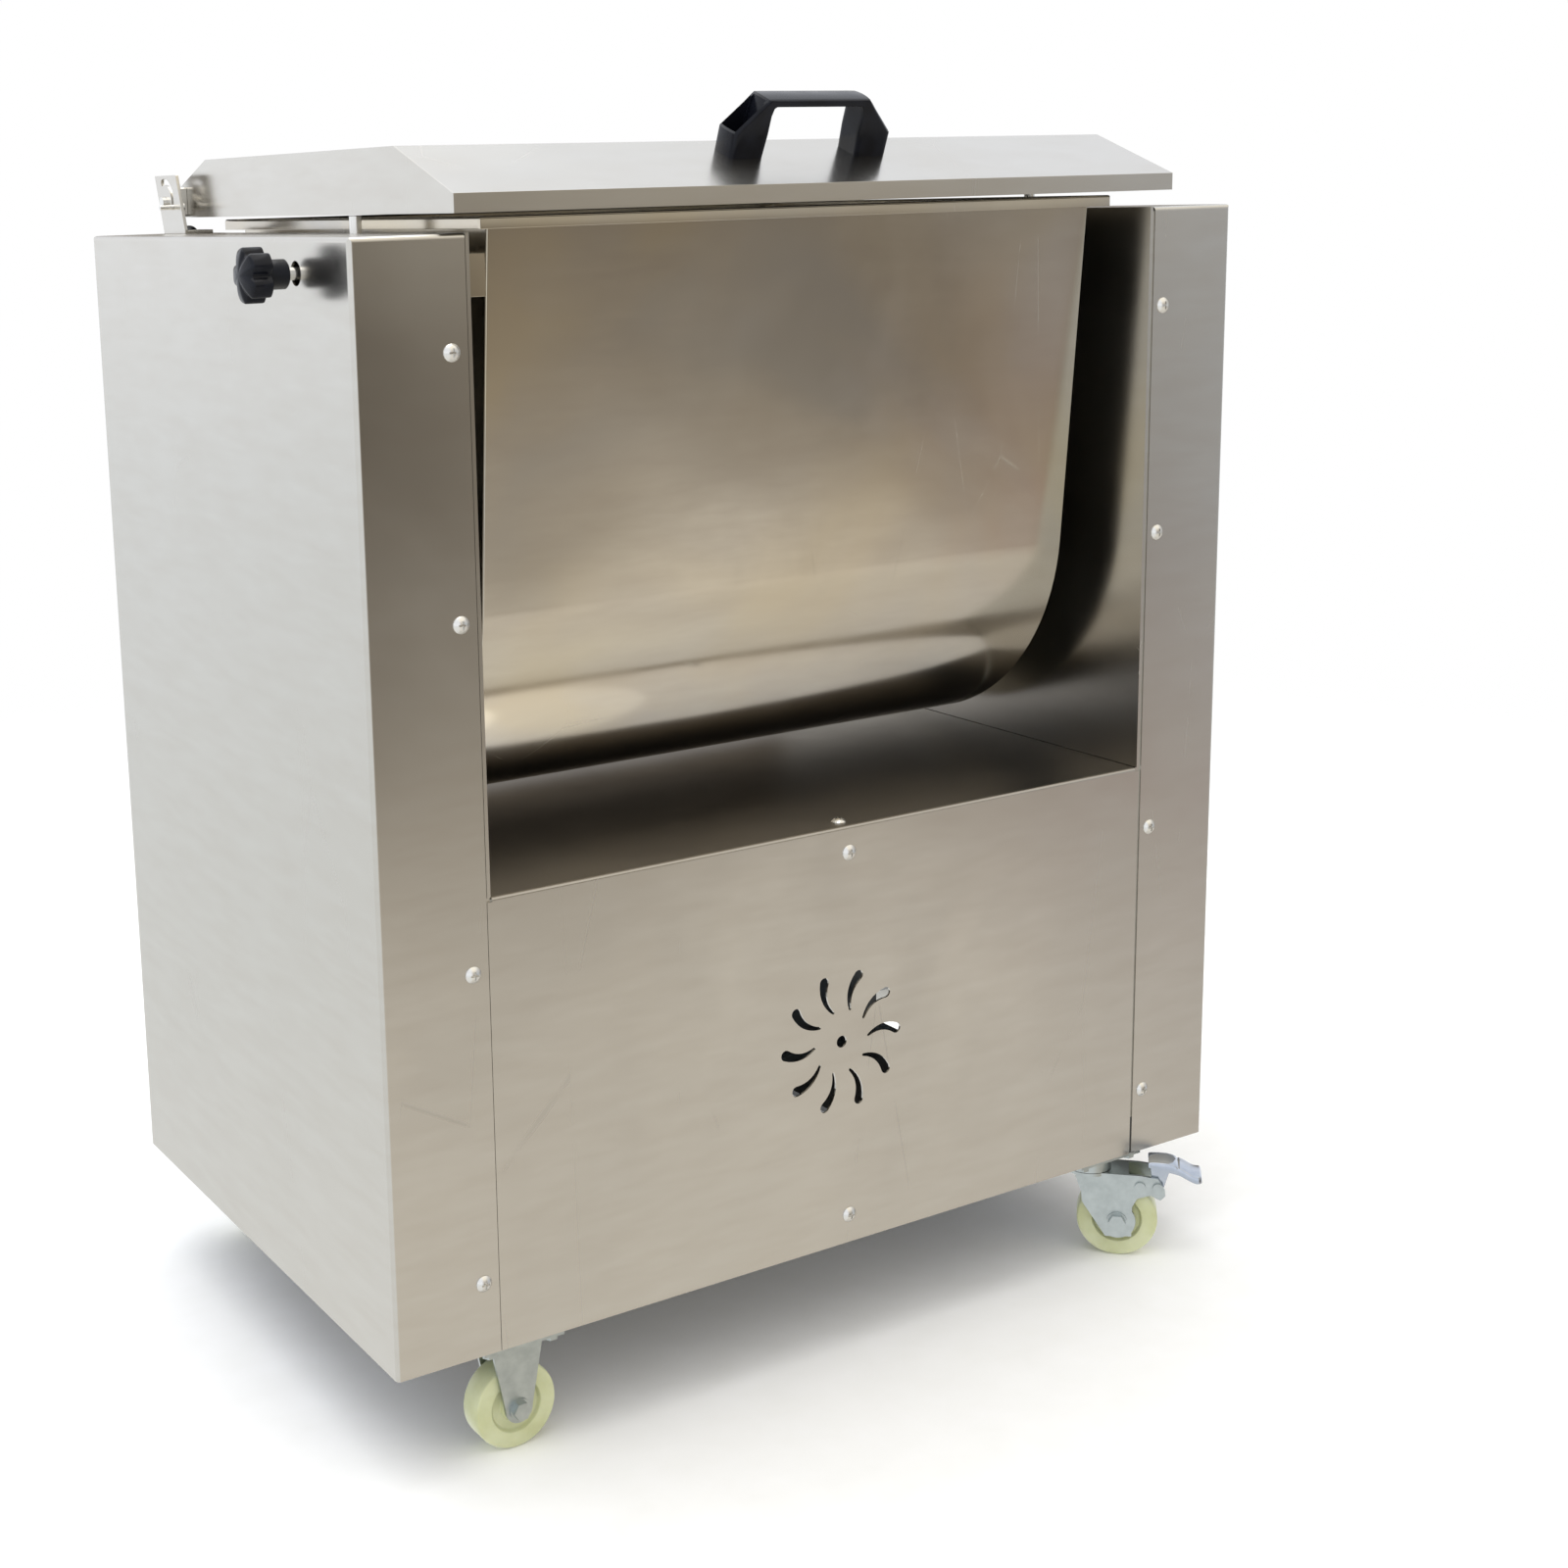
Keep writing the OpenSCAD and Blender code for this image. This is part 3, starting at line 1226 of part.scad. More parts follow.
module lock_knob() color(dark) mirror([1, 0, 0]) translate([0, -lock_y, lock_z]) difference() {
    union() {
        bar_x(hub_r, hub_x, hub_x + hub_l);
        bar_x(star_core_r, hub_x + hub_l, knob_reach - star_cap_t);
        for (a = [0:72:288]) rotate([a + 18, 0, 0]) translate([0, 0, lobe_c])
            bar_x(lobe_r, hub_x + hub_l, knob_reach - star_cap_t);
        bar_x(star_cap_r, hub_x + hub_l, knob_reach);
    }
    bar_x(lock_rod_r, hub_x - cut, hub_x + hub_l + star_l / 2);
}

module guide_bushes() color(dark) mirror([1, 0, 0]) {
    translate([0, -lock_y, lock_z]) difference() {
        union() {
            bar_x(bush_r, wall_in, wall_out + bush_flange_t);
            bar_x(bush_flange_r, wall_out, wall_out + bush_flange_t);
        }
        bar_x(lock_rod_r + run_gap, wall_in - cut, wall_out + bush_flange_t + cut);
    }
    translate([plunger_x, -plunger_y, 0]) difference() {
        bar_z(plunger_r + wall_t, top_z - sheet_t - plunger_bush_l, top_z - sheet_t);
        bar_z(plunger_r + run_gap, top_z - sheet_t - plunger_bush_l - cut, top_z);
        box(-plunger_bush_l, wall_out - plunger_x + left_seam, -plunger_bush_l, plunger_bush_l,
            top_z - plunger_bush_l * 2, top_z);
    }
}

module lid_plunger() color(bright) mirror([1, 0, 0]) translate([plunger_x, -plunger_y, 0])
    bar_z(plunger_r, top_z - plunger_deep, lid_z - plunger_gap);

module lid_rest_peg() color(bright) translate([plunger_x, -plunger_y, 0])
    bar_z(plunger_r, top_z - screw_len, lid_z - plunger_gap);

module switch_plate() color(dark) difference() {
    box(half_w, half_w + switch_t, -switch_l / 2, switch_l / 2,
        button_z - switch_h / 2, button_z + switch_h / 2);
    for (i = [-1, 0, 1]) translate([0, i * button_pitch, button_z])
        bar_x(stem_r + stem_gap, half_w - cut, half_w + switch_t + cut);
}

module control_box() color(iron) difference() {
    box(side_in - box_d, side_in, -switch_l / 2, switch_l / 2,
        button_z - switch_h / 2, button_z + switch_h / 2);
    box(side_in - box_d + box_t, side_in + cut, -switch_l / 2 + box_t, switch_l / 2 - box_t,
        button_z - switch_h / 2 + box_t, button_z + switch_h / 2 - box_t);
}

module push_button(i) {
    base = half_w + switch_t + button_travel + stem_gap;
    translate([0, i * button_pitch, button_z]) {
        bar_x(stem_r, side_in - stem_in, base + cut);
        bar_x(button_r, base, base + button_out);
    }
}

module start_button() color(green) push_button(-1);

module reverse_button() color(steel) push_button(0);

module stop_button() color(red) translate([0, button_pitch, button_z]) {
    bar_x(stem_r, side_in - stem_in, knob_reach - stop_head_t / 2);
    bar_x(stop_head_r, knob_reach - stop_head_t, knob_reach);
}

module cable_gland() color(dark) translate([gland_x, 0, gland_z]) difference() {
    union() {
        bar_y(gland_thread_r, skin_in - gland_in, half_d + gland_out);
        translate([0, half_d, 0]) rotate([-90, 0, 0]) linear_extrude(height = gland_nut_t)
            polygon([for (a = [0:60:300]) polar(gland_nut_r, a)]);
        translate([0, half_d + gland_out - gland_nut_t, 0]) rotate([-90, 0, 0])
            linear_extrude(height = gland_nut_t)
                polygon([for (a = [0:60:300]) polar(gland_nut_r * gland_cap_share, a)]);
        translate([0, skin_in - gland_nut_t, 0]) rotate([-90, 0, 0]) linear_extrude(height = gland_nut_t)
            polygon([for (a = [0:60:300]) polar(gland_nut_r, a)]);
    }
    bar_y(gland_bore_r, skin_in - gland_in - cut, half_d + gland_out + cut);
}

module caster_plate() {
    difference() {
        box(-cast_plate_x, cast_plate_x, -cast_plate_y, cast_plate_y, cast_low, caster_h);
        for (sx = [-1, 1], sy = [-1, 1]) translate([sx * cast_bolt_x, sy * cast_bolt_y, 0])
            bar_z(cast_bolt_r, cast_low - cut, caster_h + cut);
    }
}

// A drawing in the X-Z plane, carried along Y from y0 to y1.
module along_y(y0, y1) {
    translate([0, y1, 0]) rotate([90, 0, 0]) linear_extrude(height = y1 - y0) children();
}

module rigid_forks() color(zinc) both_ends() translate([-caster_x, -caster_y, 0]) {
    caster_plate();
    for (y = [-cheek_out, cheek_in]) difference() {
        along_y(y, y + cast_t) {
            polygon([[-rigid_top, cast_low], [-rigid_low, wheel_r], [rigid_low, wheel_r],
                [rigid_top, cast_low]]);
            translate([0, wheel_r]) circle(r = rigid_low);
        }
        translate([0, 0, wheel_r]) bar_y(axle_r, y - cut, y + cast_t + cut);
    }
}

// An axle along Y with a head in front and a nut behind, about z = 0.
module axle() {
    bar_y(axle_r, -cheek_out - axle_head_t / 2, cheek_out + axle_head_t / 2);
    thick = axle_head_t * washer_t_share;
    for (y = [-cheek_out - thick, cheek_out]) bar_y(axle_head_r * washer_share, y, y + thick);
    for (y = [-cheek_out - axle_head_t, cheek_out]) translate([0, y, 0]) rotate([-90, 0, 0])
        linear_extrude(height = axle_head_t) polygon([for (a = [0:60:300]) polar(axle_head_r, a)]);
}

module rigid_axles() color(zinc) both_ends() translate([-caster_x, -caster_y, wheel_r]) axle();

// A wheel about Y with its centre at zero.
module wheel() {
    h = wheel_w / 2;
    rotate([-90, 0, 0]) rotate_extrude() polygon([
        [axle_r + run_gap, -h], [wheel_hub_r, -h], [wheel_hub_r, -h + wheel_dish],
        [wheel_rim_r, -h + wheel_dish], [wheel_rim_r, -h], [wheel_r - wheel_edge, -h],
        [wheel_r, -h + wheel_edge], [wheel_r, h - wheel_edge], [wheel_r - wheel_edge, h],
        [wheel_rim_r, h], [wheel_rim_r, h - wheel_dish], [wheel_hub_r, h - wheel_dish],
        [wheel_hub_r, h], [axle_r + run_gap, h]]);
}

module front_left_wheel() color(nylon) translate([-caster_x, -caster_y, wheel_r]) wheel();

module rear_left_wheel() color(nylon) translate([-caster_x, caster_y, wheel_r]) wheel();

module swivel_place() {
    translate([caster_x, -caster_y, 0]) rotate([0, 0, swivel_yaw]) children();
}

module front_right_wheel() color(nylon) swivel_place() translate([trail, 0, wheel_r]) wheel();

module rear_right_wheel() color(nylon) mirror([0, 1, 0])
    swivel_place() translate([trail, 0, wheel_r]) wheel();

module swivel_plates() color(zinc) both_ends() translate([caster_x, -caster_y, 0]) {
    caster_plate();
    bar_z(race_r, fork_z + fork_gap, cast_low);
    bar_z(king_r, fork_z - cast_t - fork_gap - king_head_t, cast_low);
    bar_z(king_head_r, fork_z - cast_t - fork_gap - king_head_t, fork_z - cast_t - fork_gap);
}

module caster_bolts() color(zinc) both_sides() both_ends() caster_bolt_places() {
    bar_z(cast_bolt_r, cast_low - cast_head_t / 2, caster_h + corner_t);
    translate([0, 0, cast_low - cast_head_t]) linear_extrude(height = cast_head_t)
        polygon([for (a = [0:60:300]) polar(cast_head_r, a)]);
}

// Swivel fork with its trail along X, the swivel axis at zero.
module swivel_fork() {
    difference() {
        union() {
            translate([0, 0, fork_z - cast_t]) cylinder(r = race_r, h = cast_t);
            box(0, brake_x - rivet_x + race_r, -cheek_out, cheek_out, fork_z - cast_t, fork_z);
            for (y = [-cheek_out, cheek_in]) along_y(y, y + cast_t) {
                polygon([[-race_r * 0.55, fork_z], [-race_r * 0.55, fork_z - cast_t * 1.6],
                    [-trail * 0.22, wheel_r * 1.72], [-trail * 0.2, wheel_r * 1.47],
                    [trail * 0.62, wheel_r * 0.56], [trail * 1.5, wheel_r * 0.6],
                    [trail * 1.5, wheel_r * 1.4], [rivet_x - rivet_head_r * 0.5, wheel_r * 1.64],
                    [brake_x - rivet_head_r * 1.3, wheel_r * 1.76],
                    [brake_x + rivet_head_r * 0.5, wheel_r * 1.64],
                    [brake_x + rivet_head_r * 1.4, wheel_r * 1.77],
                    [brake_x + rivet_head_r * 1.3, wheel_r * 1.92],
                    [brake_x, fork_z - rivet_r * 0.6], [rivet_x, fork_z]]);
                translate([trail, wheel_r]) circle(r = wheel_r * 0.46);
            }
        }
        bar_z(king_r + run_gap, fork_z - cast_t - cut, fork_z + cut);
        translate([trail, 0, wheel_r]) bar_y(axle_r, -cheek_out - cut, cheek_out + cut);
    }
    translate([trail, 0, wheel_r]) axle();
    translate([brake_x, 0, brake_z]) {
        bar_y(rivet_r, -cheek_out, cheek_out);
        for (y = [-cheek_out - rivet_head_h, cheek_out]) bar_y(rivet_head_r, y, y + rivet_head_h);
    }
    for (y = [-cheek_out - rivet_head_h, cheek_out]) translate([rivet_x, 0, brake_z])
        bar_y(rivet_head_r, y, y + rivet_head_h);
}

module front_swivel_fork() color(zinc) swivel_place() swivel_fork();

module rear_swivel_fork() color(zinc) mirror([0, 1, 0]) swivel_place() swivel_fork();

// Points of the pedal's outer curve from its heel to its toe, about the brake rivet.
lug_half = cheek_in - pedal_gap;
pedal_top = brake_drop - pedal_t - stem_gap;
function pedal_curve(o) = [[-pedal_top * 0.37, pedal_top - o], [pedal_top * 0.36, pedal_top - o],
    [pedal_top * 0.96, pedal_top * 0.74 - o * 0.9], [pedal_top * 1.38, pedal_top * 0.42 - o * 0.8],
    [pedal_top * 1.6, -o * 0.4]];
function flip(p) = [for (i = [len(p) - 1:-1:0]) p[i]];

module brake_pedal() translate([brake_x, 0, brake_z]) difference() {
    union() {
        along_y(-lug_half, lug_half) polygon(concat(pedal_curve(0), flip(pedal_curve(pedal_t))));
        intersection() {
            along_y(-pedal_half, pedal_half) polygon(concat(pedal_curve(0), flip(pedal_curve(pedal_t))));
            box(pedal_top * 0.62, pedal_top * 2, -pedal_half, pedal_half, -pedal_top, pedal_top);
        }
        for (y = [-lug_half, lug_half - pedal_t]) along_y(y, y + pedal_t) {
            polygon([[-pedal_top * 0.37, pedal_top - pedal_t / 2], [-rivet_head_r * pedal_lug_share, 0],
                [rivet_head_r * pedal_lug_share, 0], [pedal_top * 0.5, pedal_top - pedal_t]]);
            circle(r = rivet_head_r * pedal_lug_share);
        }
    }
    bar_y(rivet_r + run_gap, -lug_half - cut, lug_half + cut);
}

module front_brake_pedal() color(bright) swivel_place() brake_pedal();

module rear_brake_pedal() color(bright) mirror([0, 1, 0]) swivel_place() brake_pedal();

base_frame();
left_inner_wall();
right_inner_wall();
left_cover();
right_cover();
deck_apron();
deck_rails();
rear_panel();
motor_plate();
motor_housing();
fan_cowl();
tank_bearings();
bearing_bolts();
countershaft_bearings();
drive_belt();
hinge_plates();
hinge_foot_bolts();
guide_bushes();
cover_screws();
panel_screws();
cable_gland();
switch_plate();
control_box();
lid_rest_peg();
rigid_forks();
rigid_axles();
swivel_plates();
caster_bolts();
tank_shell();
trunnions();
lock_block();
shaft_seals();
mixing_shaft();
paddles();
shaft_gear();
countershaft();
pinion();
large_pulley();
motor_shaft();
motor_pulley();
motor_fan();
lid_rod();
lid_shell();
lid_handle();
handle_screws();
hinge_arms();
lock_knob();
lock_rod();
lid_plunger();
start_button();
reverse_button();
stop_button();
front_left_wheel();
rear_left_wheel();
front_right_wheel();
rear_right_wheel();
front_swivel_fork();
rear_swivel_fork();
front_brake_pedal();
rear_brake_pedal();
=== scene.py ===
import json
import math

import bmesh
import bpy
from mathutils import Matrix, Vector


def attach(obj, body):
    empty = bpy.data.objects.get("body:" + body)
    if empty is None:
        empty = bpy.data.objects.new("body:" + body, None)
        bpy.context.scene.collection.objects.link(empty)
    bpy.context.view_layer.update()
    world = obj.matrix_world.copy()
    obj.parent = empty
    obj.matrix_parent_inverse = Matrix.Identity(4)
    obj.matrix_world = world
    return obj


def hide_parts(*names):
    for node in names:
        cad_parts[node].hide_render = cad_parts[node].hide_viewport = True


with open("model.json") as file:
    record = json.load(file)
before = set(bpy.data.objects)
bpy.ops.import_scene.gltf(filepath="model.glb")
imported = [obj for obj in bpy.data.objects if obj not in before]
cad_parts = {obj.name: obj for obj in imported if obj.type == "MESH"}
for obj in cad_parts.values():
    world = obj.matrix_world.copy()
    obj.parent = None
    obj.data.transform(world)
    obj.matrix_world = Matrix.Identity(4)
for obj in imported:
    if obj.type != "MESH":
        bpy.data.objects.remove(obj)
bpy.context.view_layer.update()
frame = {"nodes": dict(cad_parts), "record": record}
nodes = frame["nodes"]
nodeBody = {node: body for body, members in frame["record"]["behaviour"]["bodies"].items()
            for node in members}
mm = 0.001
skinHeight = 0.1 * mm      # how far a pitted or moulded skin stands up
peelHeight = 0.2 * mm      # the same for paint
print("frame loaded:", len(nodes), "CAD nodes")


# Materials

def srgb(hexText):
    channels = [int(hexText[i:i + 2], 16) / 255 for i in (1, 3, 5)]
    return [c / 12.92 if c <= 0.04045 else ((c + 0.055) / 1.055) ** 2.4 for c in channels] + [1]


def addNode(tree, kind, settings=None, links=None):
    node = tree.nodes.new(kind)
    for name, value in (settings or {}).items():
        if name == "stops":
            ramp = node.color_ramp.elements
            while len(ramp) < len(value):
                ramp.new(1)
            for element, (place, colour) in zip(ramp, value):
                element.position, element.color = place, colour
        elif isinstance(name, int) or name in node.inputs:
            node.inputs[name].default_value = value
        else:
            setattr(node, name, value)
    for name, source in (links or {}).items():
        tree.links.new(source, node.inputs[name])
    return node


def perMetre(sizeMm):
    return 1 / (sizeMm * mm)


def newMaterial(name, settings):
    material = bpy.data.materials.new(name)
    material.use_nodes = True
    tree = material.node_tree
    tree.nodes.clear()
    shader = addNode(tree, "ShaderNodeBsdfPrincipled", settings)
    addNode(tree, "ShaderNodeOutputMaterial", links={"Surface": shader.outputs[0]})
    place = addNode(tree, "ShaderNodeTexCoord").outputs["Object"]
    return material, tree, shader, place


# Bands are limits of a Map Range node: the part of a 0 to 1 noise over which a change runs.
# A Mix node's sockets 6 and 7 are its two colours.
noiseBand = {"From Min": 0.35, "From Max": 0.65}


def satinSheet(name, look):
    # Cold-rolled 304 stainless sheet, satin from the mill: a soft mirror with faint drawn streaks,
    # smudges where hands and film have been, a few hairline scratches, a slow press-brake wave.
    material, tree, shader, place = newMaterial(name, {"Metallic": 1})
    smudge = addNode(tree, "ShaderNodeTexNoise", {"Scale": perMetre(look["smudgeMm"]), "Detail": 4,
                     "Roughness": 0.55, "Distortion": 0.5}, {"Vector": place}).outputs[0]
    drawn = addNode(tree, "ShaderNodeMapping", {"Scale": look["drawn"]}, {"Vector": place}).outputs[0]
    streak = addNode(tree, "ShaderNodeTexNoise", {"Scale": perMetre(look["streakMm"]), "Detail": 3,
                     "Roughness": 0.6}, {"Vector": drawn}).outputs[0]
    leant = addNode(tree, "ShaderNodeMapping", {"Rotation": look["scratchLean"],
                    "Scale": look["scratchDrawn"]}, {"Vector": place}).outputs[0]
    cells = addNode(tree, "ShaderNodeTexVoronoi", {"feature": "DISTANCE_TO_EDGE",
                    "Scale": perMetre(look["scratchMm"])}, {"Vector": leant}).outputs[0]
    line = addNode(tree, "ShaderNodeMapRange", {"From Max": look["scratchWide"], "To Min": 1,
                   "To Max": 0}, {"Value": cells}).outputs[0]
    patch = addNode(tree, "ShaderNodeMapRange", look["scratchBand"], {"Value": smudge}).outputs[0]
    scratch = addNode(tree, "ShaderNodeMath", {"operation": "MULTIPLY"}, {0: line, 1: patch}).outputs[0]
    hazy = addNode(tree, "ShaderNodeMapRange", look["hazeBand"] | {"To Min": look["smooth"],
                   "To Max": look["rough"]}, {"Value": smudge}).outputs[0]
    streaky = addNode(tree, "ShaderNodeMath", {"operation": "MULTIPLY_ADD", 1: look["streakDepth"]},
                      {0: streak, 2: hazy}).outputs[0]
    roughness = addNode(tree, "ShaderNodeMath", {"operation": "MULTIPLY_ADD", 1: look["scratchRough"]},
                        {0: scratch, 2: streaky}).outputs[0]
    stained = addNode(tree, "ShaderNodeMapRange", look["hazeBand"], {"Value": streak}).outputs[0]
    tint = addNode(tree, "ShaderNodeMix", {"data_type": "RGBA", 6: srgb(look["colour"]),
                   7: srgb(look["stain"])}, {0: stained}).outputs[2]
    wave = addNode(tree, "ShaderNodeTexNoise", {"Scale": perMetre(look["waveMm"]), "Detail": 1},
                   {"Vector": place}).outputs[0]
    wavy = addNode(tree, "ShaderNodeBump", {"Strength": look["waveDepth"],
                   "Distance": look["waveHighMm"] * mm}, {"Height": wave}).outputs[0]
    bump = addNode(tree, "ShaderNodeBump", {"Strength": look["scratchDepth"],
                   "Distance": look["scratchDeepMm"] * mm, "invert": True},
                   {"Height": scratch, "Normal": wavy}).outputs[0]
    if "heatTint" in look:
        # Straw and blue-grey clouds where the sheet was warmed and wiped
        cloud = addNode(tree, "ShaderNodeTexNoise", {"Scale": perMetre(look["tintMm"]), "Detail": 3,
                        "Roughness": 0.45, "Distortion": 0.8}, {"Vector": place}).outputs[0]
        warm = addNode(tree, "ShaderNodeMapRange", look["heatBand"] | {"To Max": look["tintShare"]},
                       {"Value": cloud}).outputs[0]
        cool = addNode(tree, "ShaderNodeMapRange", look["coolBand"] | {"To Min": look["tintShare"],
                       "To Max": 0}, {"Value": cloud}).outputs[0]
        for share, colour in ((warm, look["heatTint"]), (cool, look["coolTint"])):
            tint = addNode(tree, "ShaderNodeMix", {"data_type": "RGBA", 7: srgb(colour)},
                           {0: share, 6: tint}).outputs[2]
    if "treadTop" in look:
        # The level top is painted darker, a painted shade under the tank, and scuffed duller by trays
        height = addNode(tree, "ShaderNodeSeparateXYZ", None, {0: place}).outputs[2]
        scuffedAndShaded = {"From Min": (look["treadTop"] - look["treadFade"]) * mm,
                   "From Max": look["treadTop"] * mm}
        tread = addNode(tree, "ShaderNodeMapRange", scuffedAndShaded, {"Value": height}).outputs[0]
        tint = addNode(tree, "ShaderNodeMix", {"data_type": "RGBA", 7: srgb(look["treadShadeColour"])},
                       {0: tread, 6: tint}).outputs[2]
        roughness = addNode(tree, "ShaderNodeMath", {"operation": "MULTIPLY_ADD", 1: look["treadRough"]},
                            {0: tread, 2: roughness}).outputs[0]
    tree.links.new(tint, shader.inputs["Base Color"])
    tree.links.new(roughness, shader.inputs["Roughness"])
    tree.links.new(bump, shader.inputs["Normal"])
    return material


def plated(name, look):
    # Zinc or chrome plating on pressed steel: cool grey, mottled by the bath where it is zinc.
    material, tree, shader, place = newMaterial(name, {"Metallic": 1})
    mottle = addNode(tree, "ShaderNodeTexNoise", {"Scale": perMetre(look["mottleMm"]), "Detail": 4,
                     "Roughness": 0.6}, {"Vector": place}).outputs[0]
    cloudy = addNode(tree, "ShaderNodeMapRange", noiseBand, {"Value": mottle}).outputs[0]
    tint = addNode(tree, "ShaderNodeMix", {"data_type": "RGBA", 6: srgb(look["colour"]),
                   7: srgb(look["dull"])}, {0: cloudy}).outputs[2]
    bump = addNode(tree, "ShaderNodeBump", {"Strength": look["pitting"], "Distance": skinHeight},
                   {"Height": mottle}).outputs[0]
    roughness = addNode(tree, "ShaderNodeMapRange", noiseBand | {"To Min": look["smooth"],
                        "To Max": look["rough"]}, {"Value": mottle}).outputs[0]
    tree.links.new(tint, shader.inputs["Base Color"])
    tree.links.new(roughness, shader.inputs["Roughness"])
    tree.links.new(bump, shader.inputs["Normal"])
    return material


def turned(name, look):
    # Turned and ground stainless bar: fine rings round the axis catch the light in bands.
    # A Wave node draws about three bands for each unit of Scale.
    material, tree, shader, place = newMaterial(name, {"Metallic": 1,
                                                "Base Color": srgb(look["colour"])})
    rings = addNode(tree, "ShaderNodeTexWave", {"wave_type": "BANDS", "bands_direction": "X",
                    "Scale": perMetre(look["ringMm"]) / look["bands"], "Distortion": 1.5, "Detail": 2},
                    {"Vector": place}).outputs[1]
    roughness = addNode(tree, "ShaderNodeMapRange", {"To Min": look["smooth"], "To Max": look["rough"]},
                        {"Value": rings}).outputs[0]
    tree.links.new(roughness, shader.inputs["Roughness"])
    return material


def moulded(name, look):
    # Moulded thermoplastic or phenolic: even colour with a faint bloom and a fine moulded skin.
    material, tree, shader, place = newMaterial(name, {"IOR": look["ior"],
                                                "Specular IOR Level": look.get("gloss", 0.5),
                                                "Subsurface Weight": look.get("glow", 0),
                                                "Subsurface Radius": look.get("glowReach", (1, 1, 1)),
                                                "Subsurface Scale": look.get("glowMm", 2) * mm})
    cloud = addNode(tree, "ShaderNodeTexNoise", {"Scale": perMetre(look["cloudMm"]), "Detail": 4},
                    {"Vector": place}).outputs[0]
    skin = addNode(tree, "ShaderNodeTexNoise", {"Scale": perMetre(look["skinMm"]), "Detail": 2},
                   {"Vector": place}).outputs[0]
    cloudy = addNode(tree, "ShaderNodeMapRange", noiseBand, {"Value": cloud}).outputs[0]
    tint = addNode(tree, "ShaderNodeMix", {"data_type": "RGBA", 6: srgb(look["colour"]),
                   7: srgb(look["bloom"])}, {0: cloudy}).outputs[2]
    bump = addNode(tree, "ShaderNodeBump", {"Strength": look["skinDepth"], "Distance": skinHeight},
                   {"Height": skin}).outputs[0]
    roughness = addNode(tree, "ShaderNodeMapRange", noiseBand | {"To Min": look["smooth"],
                        "To Max": look["rough"]}, {"Value": cloud}).outputs[0]
    tree.links.new(tint, shader.inputs["Base Color"])
    tree.links.new(roughness, shader.inputs["Roughness"])
    tree.links.new(bump, shader.inputs["Normal"])
    return material


def painted(name, look):
    # Sprayed or powder-coated metal: orange-peel skin with a little dust on it.
    material, tree, shader, place = newMaterial(name, {"IOR": 1.5})
    peel = addNode(tree, "ShaderNodeTexNoise", {"Scale": perMetre(look["peelMm"]), "Detail": 2},
                   {"Vector": place}).outputs[0]
    dust = addNode(tree, "ShaderNodeTexNoise", {"Scale": perMetre(look["dustMm"]), "Detail": 5},
                   {"Vector": place}).outputs[0]
    dusty = addNode(tree, "ShaderNodeMapRange", noiseBand | {"To Max": look["dustShare"]},
                    {"Value": dust}).outputs[0]
    tint = addNode(tree, "ShaderNodeMix", {"data_type": "RGBA", 6: srgb(look["colour"]),
                   7: srgb(look["dust"])}, {0: dusty}).outputs[2]
    bump = addNode(tree, "ShaderNodeBump", {"Strength": look["peelDepth"], "Distance": peelHeight},
                   {"Height": peel}).outputs[0]
    roughness = addNode(tree, "ShaderNodeMapRange", noiseBand | {"To Min": look["smooth"],
                        "To Max": look["rough"]}, {"Value": dust}).outputs[0]
    tree.links.new(tint, shader.inputs["Base Color"])
    tree.links.new(roughness, shader.inputs["Roughness"])
    tree.links.new(bump, shader.inputs["Normal"])
    return material


# Drawn values scale a pattern along each axis, and a value under 1 stretches it.
sheetLook = {"colour": "#C7C4BD", "stain": "#C3BFB7", "smooth": 0.17, "rough": 0.25,
             "smudgeMm": 150, "hazeBand": {"From Min": 0.3, "From Max": 0.7},
             "streakMm": 14, "streakDepth": 0.03, "drawn": (0.2, 0.2, 1),
             "scratchMm": 75, "scratchWide": 0.004, "scratchLean": (0.2, 0.35, 0.15),
             "scratchDrawn": (1, 1, 0.15), "scratchBand": {"From Min": 0.55, "From Max": 0.62},
             "scratchRough": 0.1,
             "scratchDepth": 0.06, "scratchDeepMm": 0.2,
             "waveMm": 190, "waveDepth": 0.12, "waveHighMm": 4}
tankLook = dict(sheetLook, colour="#C3BDB1", stain="#BDB6AA", smooth=0.11, rough=0.19, smudgeMm=120,
                waveMm=140, waveDepth=0.3, tintMm=260, tintShare=0.6,
                heatTint="#C8BCA2", heatBand={"From Min": 0.5, "From Max": 0.64},
                coolTint="#B2B1AE", coolBand={"From Min": 0.36, "From Max": 0.48})
# The deck's level top takes a darker colour as painted shade under the tank; its added roughness is
# scuffing
deckLook = dict(sheetLook, treadTop=386.5, treadFade=1, treadShadeColour="#958F86", treadRough=0.12)
platedLook = {"colour": "#B7BDBB", "dull": "#ADB3B1", "mottleMm": 9, "smooth": 0.3, "rough": 0.4,
              "pitting": 0.06}
chromeLook = {"colour": "#B4B9C1", "dull": "#A9B0BA", "mottleMm": 12, "smooth": 0.06, "rough": 0.14,
              "pitting": 0.03}
blackLook = {"colour": "#3A3B3D", "dull": "#2A2A2C", "mottleMm": 3, "smooth": 0.3, "rough": 0.45,
             "pitting": 0.15}
paintLook = {"dustMm": 40, "dustShare": 0.6}
buttonLook = {"cloudMm": 8, "skinMm": 1, "skinDepth": 0.05, "smooth": 0.18, "rough": 0.26, "ior": 1.58}
